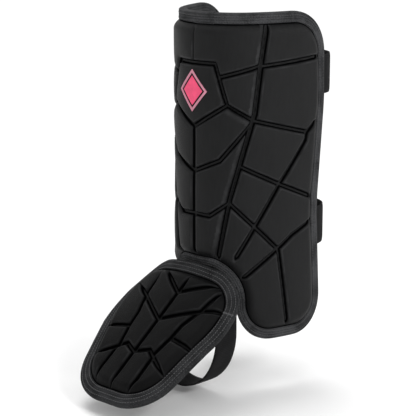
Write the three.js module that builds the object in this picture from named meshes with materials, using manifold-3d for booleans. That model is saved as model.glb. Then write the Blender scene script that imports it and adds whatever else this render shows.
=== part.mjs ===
// A batter's leg guard as it sits on the leg: a grooved shin shell with a sewn edge binding and a lining,
// an instep pad hung from its arch, a strap under the foot, two calf straps and a two-piece badge.
// Millimetres, +Z up. The origin is on the leg's axis and the shin faces -Y.
//
// Shell and instep pad are worked out flat and then bent. Flat coordinates are (across, up, out): across
// runs round the leg or over the foot, up runs along it, and out is the height above the padded cells' tops.
import * as THREE from "three";
import Module from "manifold-3d";

const wasm = await Module();
wasm.setup();

// Shin shell, seen flat
const SHELL_TOP = 161.5;       // top edge above the origin
const LOBE_DROP = 152;         // lowest point of the two lobes below the origin
const ARCH_RISE = 72.5;        // arch over the instep, above the lobes' lowest point
const HALF_WRAP = 149;         // front centre line to side edge, along the cells' tops
// Shin shell, seen from above
const SHIN_RADIUS = 60;        // round the shin bone
const SHIN_HALF_ANGLE = 60;    // degrees of that arc on each side
const WING_RADIUS = 150;       // flatter wings beside the calf

// Instep pad
const INSTEP_LENGTH = 160;     // hinge edge to toe
const INSTEP_HALF_WIDTH = 74;
const INSTEP_SLOPE = 43;       // degrees below level
const INSTEP_FORWARD = 5;      // its hinge edge ahead of the shin's cells
const INSTEP_LIFT = 6.5;       // and above the arch
const HINGE_RADIUS = 104;      // its arch over the foot, at the hinge edge

// Moulded section, shared by both pads
const CELL_RISE = 6.5;         // cell tops above the pressed edge
const EDGE_THICKNESS = 3.4;    // pressed edge
const CELL_BEVEL = 9;          // slope from the pressed edge up to the cell tops
const GROOVE_WIDTH = 8;
const GROOVE_FLOOR = 2.4;
const GROOVE_DEPTH = 4.2;
const LINING_THICKNESS = 1.5;

// Folded tape round both pads
const SHIN_TAPE_WIDTH = 9;
const INSTEP_TAPE_WIDTH = 11;
const BINDING_THICKNESS = 1.2;
const SHIN_TAPE_SLACK = 0.3;   // between the tape and what it is folded over
const INSTEP_TAPE_SLACK = 0.7; // looser, because this pad bends both ways

// Straps and the web of the hinge
const STRAP_THICKNESS = 1.8;
const CALF_STRAP_WIDTH = 38;
const CALF_STRAP_DEPTH = 48;   // how far the loop stands behind the wings
const CALF_STRAP_ROUNDING = 3; // power of its superellipse: 2 is an ellipse, and more is squarer
const CALF_STRAP_SETBACK = 6.6; // from the shell's side edge to where the strap leaves the lining
const CALF_STRAP_LAP = 26;     // sewn length inside each wing
const UPPER_STRAP_DROP = 82;   // lower edge of the upper calf strap below the shell's top edge
const LOWER_STRAP_RISE = 82.5; // lower edge of the lower one above the lobes' lowest point
const STIRRUP_WIDTH = 28;
const STIRRUP_HALF_SPAN = 50;
const STIRRUP_DROP = 195;      // its lowest point below the origin
const STIRRUP_BEND = 58;       // height of the rounded lower part
const STIRRUP_AHEAD = 15;      // its front edge ahead of the instep pad's hinge edge
const WEB_HALF_WIDTH = 36;
const WEB_LAP = 12;            // sewn length on each pad
const WEB_THICKNESS = 1.2;

// Badge
const BADGE_HEIGHT = 40;
const BADGE_WIDTH = 34;
const BADGE_DROP = 71.5;       // its centre below the shell's top edge
const BADGE_BORDER = 2.2;      // width of the border
const BADGE_INLINE = 1.6;      // gap between border and core
const BADGE_THICKNESS = 0.8;

const CLEARANCE = 0.3;         // between pieces that touch
const ARC_STEP = 20;           // degrees per facet on rounded corners
const SHIN_FACETS = 11;        // across the shin's arc; an odd number keeps the lines off the front seam
const WING_FACETS = 5;         // across each wing
const INSTEP_FACETS = 13;      // across the instep pad, odd too
const INSTEP_RUNS = 8;         // along it, so that a line falls on each of its arches
const BODY_MARGIN = 50;        // further than any body reaches past its outline or its faces
const WELD = 0.0005;           // points this close are one point
const ON_CUT = 0.0001;         // faces this close to a cutting plane are cut faces

const SHELL_HEIGHT = SHELL_TOP + LOBE_DROP;
const ARCH_LEVEL = ARCH_RISE - LOBE_DROP;
const SHIN_ARC = SHIN_RADIUS * THREE.MathUtils.degToRad(SHIN_HALF_ANGLE);
const EDGE_OUT = -CELL_RISE;
const PAD_BACK = EDGE_OUT - EDGE_THICKNESS;
const LINING_BACK = PAD_BACK - CLEARANCE - LINING_THICKNESS;
const SHIN_TAPE_REACH = SHIN_TAPE_SLACK + BINDING_THICKNESS;
const INSTEP_TAPE_REACH = INSTEP_TAPE_SLACK + BINDING_THICKNESS;

// Right half of the shell's outline from the top round to the arch. across: share of the half wrap; up:
// share of the shell's height; radius: corner radius as a share of the half wrap.
const SHELL_CORNERS = [
  { across: 0.985, up: 1, radius: 0.28 },
  { across: 1, up: 0.734, radius: 1.6 },
  { across: 0.935, up: 0.403, radius: 1.6 },
  { across: 0.985, up: 0.006, radius: 0.235 },
  { across: 0.315, up: 0, radius: 0.248 },
  { across: 0.315, up: ARCH_RISE / SHELL_HEIGHT, radius: 0.23 },
];

// Right half of the instep pad's outline from the hinge to the toe. across: share of its half width; along:
// share of its length; radius: corner radius as a share of its half width.
const INSTEP_CORNERS = [
  { across: 0.97, along: 0, radius: 0.55 },
  { across: 1.01, along: 0.37, radius: 1.4 },
  { across: 0.66, along: 0.985, radius: 0.65 },
];

// Arch of the instep pad over the foot. along: share of its length; flatter: radius there over the hinge's.
const INSTEP_ARCHES = [
  { along: 0, flatter: 1 },
  { along: 0.25, flatter: 1.6 },
  { along: 0.5, flatter: 2.6 },
  { along: 1, flatter: 4 },
];

// Grooves of the shell's right half; the left half mirrors them. Each point is [across, up], across as a
// share of the half wrap and up as a share of the shell's height.
const SHELL_GROOVES = [
  { name: "front seam above the badge", points: [[0, 0.968], [0, 0.855]] },
  { name: "front seam below the badge", points: [[0, 0.663], [0, 0.262]] },
  { name: "badge outline", points: [[0, 0.855], [0.161, 0.855], [0.242, 0.731], [0, 0.663]] },
  { name: "upper flank", points: [[0.51, 0.978], [0.47, 0.855], [0.43, 0.706], [0.362, 0.606]] },
  { name: "lower flank", points: [[0.362, 0.606], [0.262, 0.447], [0.18, 0.257]] },
  { name: "upper wing", points: [[0.2, 0.816], [0.45, 0.846], [0.92, 0.865]] },
  { name: "badge to flank", points: [[0.242, 0.731], [0.42, 0.685]] },
  { name: "middle wing", points: [[0.42, 0.685], [0.812, 0.638], [0.9, 0.673]] },
  { name: "wing to ankle", points: [[0.812, 0.638], [0.8, 0.613], [0.604, 0.491], [0.436, 0.364]] },
  { name: "ankle to arch", points: [[0.436, 0.364], [0.295, 0.258]] },
  { name: "upper shin", points: [[0.396, 0.67], [0.329, 0.635], [0.195, 0.564], [0, 0.526]] },
  { name: "lower shin", points: [[0.242, 0.43], [0.121, 0.392], [0, 0.395]] },
  { name: "lower wing", points: [[0.342, 0.545], [0.597, 0.488], [0.87, 0.433]] },
  { name: "ankle", points: [[0.255, 0.437], [0.423, 0.364], [0.591, 0.287]] },
  { name: "lobe outer", points: [[0.87, 0.364], [0.705, 0.326], [0.597, 0.287]] },
  { name: "lobe inner", points: [[0.597, 0.287], [0.477, 0.246], [0.342, 0.198]] },
  { name: "lobe down", points: [[0.597, 0.287], [0.658, 0.083], [0.671, 0.04]] },
];

// Grooves of the instep pad's right half, mirrored too. Each point is [across, along], across as a share of
// its half width and along as a share of its length.
const INSTEP_GROOVES = [
  { name: "centre", points: [[0, 0.08], [0, 0.92]] },
  { name: "hinge chevron", points: [[0, 0.222], [0.486, 0.08]] },
  { name: "middle chevron", points: [[0, 0.42], [0.466, 0.293], [0.838, 0.204]] },
  { name: "upper side", points: [[0.54, 0.105], [0.486, 0.284], [0.392, 0.407]] },
  { name: "lower side", points: [[0.392, 0.407], [0.372, 0.506], [0.311, 0.642]] },
  { name: "side branch", points: [[0.372, 0.506], [0.865, 0.537]] },
  { name: "toe zigzag", points: [[0, 0.66], [0.203, 0.617], [0.324, 0.654], [0.649, 0.741]] },
  { name: "toe side", points: [[0.324, 0.654], [0.338, 0.809], [0.297, 0.907]] },
];
// The instep grooves' own centre line crosses the pad's at this share of its length, and leans by this many
// degrees.
const INSTEP_PATTERN = { crossing: 0.8, lean: 5.7 };

// Flat mesh helpers: a mesh is { points: [[x, y, z]], triangles: [[a, b, c]] }

function toSolid({ points, triangles }) {
  const mesh = new wasm.Mesh({
    numProp: 3,
    vertProperties: new Float32Array(points.flat()),
    triVerts: new Uint32Array(triangles.flat()),
  });
  return new wasm.Manifold(mesh);
}

function toMesh(solid) {
  const { vertProperties, triVerts, numProp } = solid.getMesh();
  const points = [];
  for (let i = 0; i < vertProperties.length; i += numProp) {
    points.push([vertProperties[i], vertProperties[i + 1], vertProperties[i + 2]]);
  }
  const triangles = [];
  for (let i = 0; i < triVerts.length; i += 3) triangles.push([...triVerts.subarray(i, i + 3)]);
  return { points, triangles };
}

function joined(solids) {
  return solids.reduce((all, next) => all.add(next));
}

// Rounds a polyline's corners: each row is { x, y, radius }, and a radius of 0 keeps the point
function rounded(rows) {
  const result = [];
  rows.forEach((row, i) => {
    if (row.radius === 0) {
      result.push(new THREE.Vector2(row.x, row.y));
      return;
    }
    const corner = new THREE.Vector2(row.x, row.y);
    const back = new THREE.Vector2(rows[i - 1].x, rows[i - 1].y).sub(corner).normalize();
    const ahead = new THREE.Vector2(rows[i + 1].x, rows[i + 1].y).sub(corner).normalize();
    const half = Math.acos(THREE.MathUtils.clamp(back.dot(ahead), -1, 1)) / 2;
    const middle = back.clone().add(ahead).normalize();
    const centre = corner.clone().addScaledVector(middle, row.radius / Math.sin(half));
    const start = back.clone().multiplyScalar(row.radius / Math.tan(half)).add(corner).sub(centre);
    const end = ahead.clone().multiplyScalar(row.radius / Math.tan(half)).add(corner).sub(centre);
    const turn = Math.atan2(start.x * end.y - start.y * end.x, start.dot(end));
    const steps = Math.max(2, Math.ceil(Math.abs(THREE.MathUtils.radToDeg(turn)) / ARC_STEP));
    for (let k = 0; k <= steps; k++) {
      result.push(start.clone().rotateAround(new THREE.Vector2(), (turn * k) / steps).add(centre));
    }
  });
  return result;
}

// Mirrors a half outline about x = 0 and returns the whole, anticlockwise
function mirrored(half) {
  const other = half.filter((p) => p.x > 1e-6).map((p) => new THREE.Vector2(-p.x, p.y)).reverse();
  const whole = [...half, ...other];
  return THREE.ShapeUtils.isClockWise(whole) ? whole.reverse() : whole;
}

// Moves an anticlockwise outline outwards, or inwards where distance is negative
function offset(outline, distance) {
  const n = outline.length;
  return outline.map((p, i) => {
    const a = p.clone().sub(outline[(i + n - 1) % n]).normalize();
    const b = outline[(i + 1) % n].clone().sub(p).normalize();
    const normal = new THREE.Vector2(a.y + b.y, -a.x - b.x);
    return normal.multiplyScalar((2 * distance) / normal.lengthSq()).add(p);
  });
}

// Closed body through outlines of equal count; each layer is { outline, out }, lowest first
function layered(layers) {
  const count = layers[0].outline.length;
  const points = layers.flatMap(({ outline, out }) => outline.map((p) => [p.x, p.y, out]));
  const cap = THREE.ShapeUtils.triangulateShape(layers[0].outline, []);
  const topCap = THREE.ShapeUtils.triangulateShape(layers[layers.length - 1].outline, []);
  const top = (layers.length - 1) * count;
  const triangles = cap.map(([a, b, c]) => [a, c, b]);
  triangles.push(...topCap.map(([a, b, c]) => [top + a, top + b, top + c]));
  for (let layer = 0; layer < layers.length - 1; layer++) {
    for (let i = 0; i < count; i++) {
      const a = layer * count + i;
      const b = layer * count + ((i + 1) % count);
      triangles.push([a, b, b + count], [a, b + count, a + count]);
    }
  }
  return toSolid({ points, triangles });
}

function slab(outline, low, high) {
  return layered([{ outline, out: low }, { outline, out: high }]);
}

// Cutter of one straight groove stretch: a trapezoid section with pointed ends, standing clear of the tops
function grooveCutter(from, to) {
  const along = to.clone().sub(from).normalize();
  const side = new THREE.Vector2(-along.y, along.x);
  const ring = (width) => {
    const half = width / 2;
    const at = (p, u, v) => p.clone().addScaledVector(along, u).addScaledVector(side, v);
    return [
      at(from, -half, 0), at(from, -half / 2, -half), at(to, half / 2, -half),
      at(to, half, 0), at(to, half / 2, half), at(from, -half / 2, half),
    ];
  };
  const slope = (GROOVE_WIDTH - GROOVE_FLOOR) / GROOVE_DEPTH;
  return layered([
    { outline: ring(GROOVE_FLOOR), out: -GROOVE_DEPTH },
    { outline: ring(GROOVE_WIDTH + slope), out: 1 },
  ]);
}

// Cutter of a whole pattern: place turns a table's shares and a side (1 or -1) into a flat point
function groovePattern(table, place) {
  const cutters = [];
  for (const { points } of table) {
    const onCentre = points.every(([across]) => across === 0);
    for (const side of onCentre ? [1] : [1, -1]) {
      const path = points.map((p) => place(p, side));
      for (let i = 1; i < path.length; i++) cutters.push(grooveCutter(path[i - 1], path[i]));
    }
  }
  return joined(cutters);
}

// Lines that share a span out evenly; the first and last are moved out so that they pass clear of the body
function cutLines(spans) {
  const lines = spans.flatMap(({ from, to, facets }) => (
    Array.from({ length: facets }, (_, k) => from + ((to - from) * k) / facets)));
  const first = lines.shift();
  return [first - BODY_MARGIN, ...lines, spans[spans.length - 1].to + BODY_MARGIN];
}

// Joins points that lie within the weld distance of each other
function welder() {
  const points = [];
  const buckets = new Map();
  const cell = (point, step) => point.map((value, axis) => Math.floor(value / WELD) + step[axis]).join();
  const steps = [-1, 0, 1].flatMap((i) => [-1, 0, 1].flatMap((j) => [-1, 0, 1].map((k) => [i, j, k])));
  const index = (point) => {
    for (const step of steps) {
      const found = buckets.get(cell(point, step));
      if (found !== undefined) return found;
    }
    points.push(point);
    buckets.set(cell(point, [0, 0, 0]), points.length - 1);
    return points.length - 1;
  };
  return { points, index };
}

// Edges that only one triangle uses, each with that triangle's index
function openEdges(triangles) {
  const edges = new Map();
  triangles.forEach((triangle, owner) => {
    triangle.forEach((from, i) => {
      const to = triangle[(i + 1) % 3];
      edges.set(`${from},${to}`, { owner, from, to });
    });
  });
  return [...edges.values()].filter(({ from, to }) => !edges.has(`${to},${from}`));
}

// Closes a welded mesh: where a point of one cell lies on an open edge of the next, that edge's triangle is
// halved
function stitched(points, triangles) {
  for (let found = true; found; ) {
    found = false;
    const open = openEdges(triangles);
    const ends = new Set(open.flatMap(({ from, to }) => [from, to]));
    const loose = [...ends].map((k) => [k, new THREE.Vector3(...points[k])]);
    const done = new Set();
    for (const { owner, from, to } of open) {
      if (done.has(owner)) continue;
      const edge = new THREE.Line3(new THREE.Vector3(...points[from]), new THREE.Vector3(...points[to]));
      const near = new THREE.Vector3();
      const hit = loose.find(([k, p]) => (
        k !== from && k !== to && edge.closestPointToPoint(p, true, near).distanceTo(p) < WELD));
      if (!hit) continue;
      const third = triangles[owner].find((k) => k !== from && k !== to);
      triangles[owner] = [from, hit[0], third];
      triangles.push([hit[0], to, third]);
      done.add(owner);
      found = true;
    }
    triangles = triangles.filter((triangle) => new Set(triangle).size === 3);
  }
  return { points, triangles };
}

// Bends a flat solid: it is cut on the lines, each cell's faces are kept without the cut faces, and the
// cells are welded together again, so that every facet is short enough for the bend
function bent(solid, lines, place) {
  const { points, index } = welder();
  const triangles = [];
  const onCut = (corners, axis, cuts) => (
    cuts.some((cut) => corners.every((p) => Math.abs(p[axis] - cut) < ON_CUT)));
  for (let i = 1; i < lines.across.length; i++) {
    const [left, right] = [lines.across[i - 1], lines.across[i]];
    for (let j = 1; j < lines.up.length; j++) {
      const [low, high] = [lines.up[j - 1], lines.up[j]];
      const corners = [[left, low], [right, low], [right, high], [left, high]];
      const outline = corners.map((p) => new THREE.Vector2(...p));
      const mesh = toMesh(solid.intersect(slab(outline, -BODY_MARGIN, BODY_MARGIN)));
      for (const triangle of mesh.triangles) {
        const ends = triangle.map((k) => mesh.points[k]);
        if (onCut(ends, 0, [left, right]) || onCut(ends, 1, [low, high])) continue;
        const welded = ends.map(index);
        if (new Set(welded).size === 3) triangles.push(welded);
      }
    }
  }
  const mesh = stitched(points, triangles);
  return toSolid({ points: mesh.points.map((p) => place(...p).toArray()), triangles: mesh.triangles });
}

// Thick sheet on a grid of middle points, square to the sheet; rows are arrays of equal length
function sheet(rows, thickness) {
  const count = rows[0].length;
  const within = (value, size) => THREE.MathUtils.clamp(value, 0, size - 1);
  const at = (i, j) => rows[within(i, rows.length)][within(j, count)];
  const faces = [0.5, -0.5].map((share) =>
    rows.flatMap((row, i) =>
      row.map((p, j) => {
        const down = at(i + 1, j).clone().sub(at(i - 1, j));
        const across = at(i, j + 1).clone().sub(at(i, j - 1));
        const normal = down.cross(across).normalize();
        return p.clone().addScaledVector(normal, share * thickness).toArray();
      }),
    ),
  );
  const half = rows.length * count;
  const triangles = [];
  const quad = (a, b, c, d) => triangles.push([a, b, c], [a, c, d]);
  for (let i = 0; i < rows.length - 1; i++) {
    for (let j = 0; j < count - 1; j++) {
      const a = i * count + j;
      quad(a, a + count, a + count + 1, a + 1);
      quad(half + a, half + a + 1, half + a + count + 1, half + a + count);
    }
    const left = i * count;
    const right = left + count - 1;
    quad(left, half + left, half + left + count, left + count);
    quad(right, right + count, half + right + count, half + right);
  }
  for (let j = 0; j < count - 1; j++) {
    const last = (rows.length - 1) * count + j;
    quad(j, j + 1, half + j + 1, half + j);
    quad(last, half + last, half + last + 1, last + 1);
  }
  return toSolid({ points: faces.flat(), triangles });
}

// Shin shell

// Bends a flat point round the leg: the shin's arc first, then the wing's flatter arc
function shinPoint(across, up, out) {
  const reach = Math.abs(across);
  const onShin = Math.min(reach, SHIN_ARC) / SHIN_RADIUS;
  const onWing = Math.max(reach - SHIN_ARC, 0) / WING_RADIUS;
  const half = THREE.MathUtils.degToRad(SHIN_HALF_ANGLE);
  const heading = onShin + onWing;
  const joint = reach > SHIN_ARC ? WING_RADIUS - SHIN_RADIUS : 0;
  const radius = (reach > SHIN_ARC ? WING_RADIUS : SHIN_RADIUS) + out;
  const x = radius * Math.sin(heading) - joint * Math.sin(half);
  const y = joint * Math.cos(half) - radius * Math.cos(heading);
  return new THREE.Vector3(Math.sign(across) * x, y, up);
}

const shinLines = {
  across: cutLines([
    { from: -HALF_WRAP, to: -SHIN_ARC, facets: WING_FACETS },
    { from: -SHIN_ARC, to: SHIN_ARC, facets: SHIN_FACETS },
    { from: SHIN_ARC, to: HALF_WRAP, facets: WING_FACETS },
  ]),
  up: cutLines([{ from: -LOBE_DROP, to: SHELL_TOP, facets: 1 }]),
};

const bentShin = (solid) => bent(solid, shinLines, shinPoint);

const shellLevel = (share) => share * SHELL_HEIGHT - LOBE_DROP;

const shellOutline = mirrored(rounded([
  { x: 0, y: SHELL_TOP, radius: 0 },
  ...SHELL_CORNERS.map(({ across, up, radius }) => (
    { x: across * HALF_WRAP, y: shellLevel(up), radius: radius * HALF_WRAP })),
  { x: 0, y: ARCH_LEVEL, radius: 0 },
]));

// Padded body in flat coordinates: the pressed edge all over, with the cells raised on it and the grooves
// cut in
function moulded(outline, grooves, tapeWidth) {
  const foot = tapeWidth + INSTEP_TAPE_SLACK;
  const cells = layered([
    { outline: offset(outline, -foot), out: EDGE_OUT - EDGE_THICKNESS / 2 },
    { outline: offset(outline, -foot), out: EDGE_OUT + CELL_RISE * 0.1 },
    { outline: offset(outline, -foot - CELL_BEVEL * 0.4), out: EDGE_OUT + CELL_RISE * 0.75 },
    { outline: offset(outline, -foot - CELL_BEVEL), out: 0 },
  ]);
  return slab(outline, PAD_BACK, EDGE_OUT).add(cells).subtract(grooves);
}

// Tape folded over an edge, from the pressed edge's outer face round to the face called back
function folded(outline, back, slack, width) {
  const reach = slack + BINDING_THICKNESS;
  const outer = slab(offset(outline, reach), back - reach, EDGE_OUT + reach);
  const channel = slab(offset(outline, slack), back - slack, EDGE_OUT + slack);
  const window = slab(offset(outline, -width), back - 2 * reach, EDGE_OUT + 2 * reach);
  return outer.subtract(channel).subtract(window);
}

function shinPad() {
  const place = ([across, up], side) => new THREE.Vector2(side * across * HALF_WRAP, shellLevel(up));
  return bentShin(moulded(shellOutline, groovePattern(SHELL_GROOVES, place), SHIN_TAPE_WIDTH));
}

function shinBinding() {
  return bentShin(folded(shellOutline, LINING_BACK, SHIN_TAPE_SLACK, SHIN_TAPE_WIDTH));
}

function shinLining() {
  return bentShin(slab(shellOutline, LINING_BACK, PAD_BACK - CLEARANCE));
}

// Badge: a diamond core in a diamond border, lying on the front cell
function diamond(inset) {
  const slant = Math.hypot(BADGE_WIDTH, BADGE_HEIGHT);
  const half = new THREE.Vector2(BADGE_WIDTH / 2, BADGE_HEIGHT / 2);
  const x = half.x - (inset * slant) / BADGE_HEIGHT;
  const y = half.y - (inset * slant) / BADGE_WIDTH;
  const level = SHELL_TOP - BADGE_DROP;
  return [[x, 0], [0, y], [-x, 0], [0, -y]].map(([px, py]) => new THREE.Vector2(px, level + py));
}

function badgeLayer(inset) {
  return slab(diamond(inset), CLEARANCE, CLEARANCE + BADGE_THICKNESS);
}

function badgeCore() {
  return bentShin(badgeLayer(BADGE_BORDER + BADGE_INLINE));
}

function badgeBorder() {
  const hole = slab(diamond(BADGE_BORDER), 0, BADGE_THICKNESS * 2);
  return bentShin(badgeLayer(0).subtract(hole));
}

// Instep pad

// Radius of the arch over the foot, from a curvature that falls evenly between the table's rows
function archRadius(share) {
  const next = Math.max(1, INSTEP_ARCHES.findIndex((row) => row.along >= Math.min(share, 1)));
  const [a, b] = [INSTEP_ARCHES[next - 1], INSTEP_ARCHES[next]];
  const t = (share - a.along) / (b.along - a.along);
  return HINGE_RADIUS / THREE.MathUtils.lerp(1 / a.flatter, 1 / b.flatter, t);
}

// Bends a flat point over the foot: straight down the slope from the hinge at up = 0, and arched across
function instepPoint(across, up, out) {
  const along = -up;
  const radius = archRadius(along / INSTEP_LENGTH);
  const slope = THREE.MathUtils.degToRad(INSTEP_SLOPE);
  const angle = across / radius;
  const height = (radius + out) * Math.cos(angle) - radius;
  return new THREE.Vector3(
    (radius + out) * Math.sin(angle),
    -SHIN_RADIUS - INSTEP_FORWARD - along * Math.cos(slope) - height * Math.sin(slope),
    ARCH_LEVEL + INSTEP_LIFT - along * Math.sin(slope) + height * Math.cos(slope),
  );
}

const instepLines = {
  across: cutLines([{ from: -INSTEP_HALF_WIDTH, to: INSTEP_HALF_WIDTH, facets: INSTEP_FACETS }]),
  up: cutLines([{ from: -INSTEP_LENGTH, to: 0, facets: INSTEP_RUNS }]),
};

const bentInstep = (solid) => bent(solid, instepLines, instepPoint);

const instepOutline = mirrored(rounded([
  { x: 0, y: 0, radius: 0 },
  ...INSTEP_CORNERS.map(({ across, along, radius }) => (
    { x: across * INSTEP_HALF_WIDTH, y: -along * INSTEP_LENGTH, radius: radius * INSTEP_HALF_WIDTH })),
  { x: 0, y: -INSTEP_LENGTH, radius: 0 },
]));

function instepPad() {
  const lean = Math.tan(THREE.MathUtils.degToRad(INSTEP_PATTERN.lean));
  const place = ([across, along], side) => new THREE.Vector2(
    side * across * INSTEP_HALF_WIDTH + (INSTEP_PATTERN.crossing - along) * INSTEP_LENGTH * lean,
    -along * INSTEP_LENGTH,
  );
  return bentInstep(moulded(instepOutline, groovePattern(INSTEP_GROOVES, place), INSTEP_TAPE_WIDTH));
}

function instepBinding() {
  return bentInstep(folded(instepOutline, PAD_BACK, INSTEP_TAPE_SLACK, INSTEP_TAPE_WIDTH));
}

// All the room that the instep pad and its binding take up, a clearance round them and the space above
function instepRoom() {
  const room = INSTEP_TAPE_REACH + INSTEP_TAPE_SLACK;
  return bentInstep(slab(offset(instepOutline, room), PAD_BACK - room, BODY_MARGIN / 2));
}

// Hinge web: a fabric strip sewn inside the shell's arch and under the instep pad's hinge edge
function hingeWeb() {
  const columns = 8;
  const arch = SHELL_CORNERS[SHELL_CORNERS.length - 1];
  const archFlat = (arch.across - arch.radius) * HALF_WRAP;
  const shinOut = LINING_BACK - SHIN_TAPE_REACH - CLEARANCE - WEB_THICKNESS / 2;
  const footOut = PAD_BACK - INSTEP_TAPE_REACH - INSTEP_TAPE_SLACK - WEB_THICKNESS / 2;
  const rows = [[], [], [], [], []];
  for (let k = 0; k <= columns; k++) {
    const across = WEB_HALF_WIDTH * ((2 * k) / columns - 1);
    const beyond = Math.max(Math.abs(across) - archFlat, 0);
    const radius = arch.radius * HALF_WRAP;
    const edge = ARCH_LEVEL - radius + Math.sqrt(radius ** 2 - beyond ** 2);
    const low = edge - SHIN_TAPE_REACH - 2 * WEB_THICKNESS;
    rows[0].push(shinPoint(across, edge + WEB_LAP, shinOut));
    rows[1].push(shinPoint(across, edge, shinOut));
    rows[2].push(shinPoint(across, low, shinOut));
    rows[3].push(instepPoint(across, -WEB_LAP / 2, footOut));
    rows[4].push(instepPoint(across, -WEB_LAP * 1.5, footOut));
  }
  return sheet(rows, WEB_THICKNESS);
}

// Straps

// Stirrup: down inside one edge of the instep pad, round under the foot and up inside the other
function stirrupStrap() {
  const front = -SHIN_RADIUS - INSTEP_FORWARD - STIRRUP_AHEAD;
  const steps = 20;
  const rows = [];
  const level = STIRRUP_BEND - STIRRUP_DROP;
  const top = instepPoint(STIRRUP_HALF_SPAN, 0, PAD_BACK).z;
  const add = (x, z) => rows.push([front, front + STIRRUP_WIDTH].map((y) => new THREE.Vector3(x, y, z)));
  add(-STIRRUP_HALF_SPAN, top);
  for (let k = 0; k <= steps; k++) {
    const angle = Math.PI * (k / steps - 0.5);
    add(STIRRUP_HALF_SPAN * Math.sin(angle), level - STIRRUP_BEND * Math.cos(angle));
  }
  add(STIRRUP_HALF_SPAN, top);
  const bodies = sheet(rows, STRAP_THICKNESS).subtract(instepRoom()).decompose();
  return bodies.reduce((strap, scrap) => (strap.volume() > scrap.volume() ? strap : scrap));
}

// Distance from the front line to the shell's side edge at a height, along the runs between its corners
function sideEdge(height) {
  const share = (height + LOBE_DROP) / SHELL_HEIGHT;
  const next = SHELL_CORNERS.findIndex(({ up }) => up <= share);
  const [above, below] = [SHELL_CORNERS[next - 1], SHELL_CORNERS[next]];
  return THREE.MathUtils.mapLinear(share, above.up, below.up, above.across, below.across) * HALF_WRAP;
}

// Calf strap with its lower edge at a height: a lap inside each wing and a superellipse round the calf
function calfStrap(height) {
  const out = LINING_BACK - SHIN_TAPE_REACH - CLEARANCE - STRAP_THICKNESS / 2;
  const edge = sideEdge(height + CALF_STRAP_WIDTH / 2) - CALF_STRAP_SETBACK;
  const end = shinPoint(edge, 0, out);
  const half = [];
  const lapSteps = 4;
  for (let k = 0; k < lapSteps; k++) {
    const across = edge - CALF_STRAP_LAP * (1 - k / lapSteps);
    half.push(shinPoint(across, 0, out));
  }
  const loopSteps = 10;
  for (let k = 0; k <= loopSteps; k++) {
    const [cos, sin] = [Math.cos, Math.sin].map((turn) => turn((Math.PI / 2) * (k / loopSteps)));
    const reach = (cos ** CALF_STRAP_ROUNDING + sin ** CALF_STRAP_ROUNDING) ** (-1 / CALF_STRAP_ROUNDING);
    half.push(new THREE.Vector3(end.x * reach * cos, end.y + CALF_STRAP_DEPTH * reach * sin, 0));
  }
  const middle = half.slice(0, -1);
  const plan = [...half, ...middle.map((p) => new THREE.Vector3(-p.x, p.y, 0)).reverse()];
  const levels = [height, height + CALF_STRAP_WIDTH];
  const rows = plan.map((p) => levels.map((z) => new THREE.Vector3(p.x, p.y, z)));
  return sheet(rows, STRAP_THICKNESS);
}

// Assembly

const FINISHES = {
  fabric: { color: 0x262729, roughness: 0.78, metalness: 0 },
  tape: { color: 0x3a3b3d, roughness: 0.9, metalness: 0 },
  lining: { color: 0x1d1e20, roughness: 0.95, metalness: 0 },
  elastic: { color: 0x1b1b1d, roughness: 0.9, metalness: 0 },
  badge: { color: 0xf5527c, roughness: 0.6, metalness: 0 },
  inline: { color: 0xd98aa0, roughness: 0.6, metalness: 0 },
};

function piece(name, solid, finish) {
  const { points, triangles } = toMesh(solid);
  const geometry = new THREE.BufferGeometry();
  geometry.setAttribute("position", new THREE.Float32BufferAttribute(points.flat(), 3));
  geometry.setIndex(triangles.flat());
  geometry.computeVertexNormals();
  const mesh = new THREE.Mesh(geometry, new THREE.MeshStandardMaterial(FINISHES[finish]));
  mesh.name = name;
  return mesh;
}

const legGuard = new THREE.Group();
legGuard.name = "leg_guard";
legGuard.add(
  piece("shin_pad", shinPad(), "fabric"),
  piece("shin_binding", shinBinding(), "tape"),
  piece("shin_lining", shinLining(), "lining"),
  piece("badge_core", badgeCore(), "badge"),
  piece("badge_border", badgeBorder(), "inline"),
  piece("instep_pad", instepPad(), "fabric"),
  piece("instep_binding", instepBinding(), "tape"),
  piece("hinge_web", hingeWeb(), "lining"),
  piece("stirrup_strap", stirrupStrap(), "elastic"),
  piece("calf_strap_upper", calfStrap(SHELL_TOP - UPPER_STRAP_DROP), "elastic"),
  piece("calf_strap_lower", calfStrap(LOWER_STRAP_RISE - LOBE_DROP), "elastic"),
);

export default legGuard;
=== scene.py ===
"""Looks of a batter's leg guard: moulded shin shell, instep pad, bindings, lining, straps and badge.

Sizes in the classes are millimetres, and meshes are written in metres. The two pads are worked out flat and
then bent. Flat coordinates are (across, up, out): across runs round the leg or over the foot, up runs along
it, and out is the height above the padded cells' tops. The origin is on the leg's axis, +Z is up and the
shin faces -Y.
"""

import logging
import math
from dataclasses import dataclass, field, replace
from enum import Enum

import bpy
import numpy as np
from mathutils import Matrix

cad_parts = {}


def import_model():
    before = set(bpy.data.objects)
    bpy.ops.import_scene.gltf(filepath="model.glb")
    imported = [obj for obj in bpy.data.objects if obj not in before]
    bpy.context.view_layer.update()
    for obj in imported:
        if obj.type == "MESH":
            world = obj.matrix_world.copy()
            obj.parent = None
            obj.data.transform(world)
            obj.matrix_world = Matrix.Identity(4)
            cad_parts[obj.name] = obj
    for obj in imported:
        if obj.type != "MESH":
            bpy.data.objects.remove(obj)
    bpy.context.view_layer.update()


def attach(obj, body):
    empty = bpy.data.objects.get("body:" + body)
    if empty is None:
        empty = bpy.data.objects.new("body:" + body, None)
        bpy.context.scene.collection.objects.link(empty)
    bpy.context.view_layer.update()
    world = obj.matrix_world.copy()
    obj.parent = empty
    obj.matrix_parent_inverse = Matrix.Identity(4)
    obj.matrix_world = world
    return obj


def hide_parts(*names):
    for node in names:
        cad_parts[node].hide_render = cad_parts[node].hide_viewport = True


Array = np.ndarray
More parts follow.
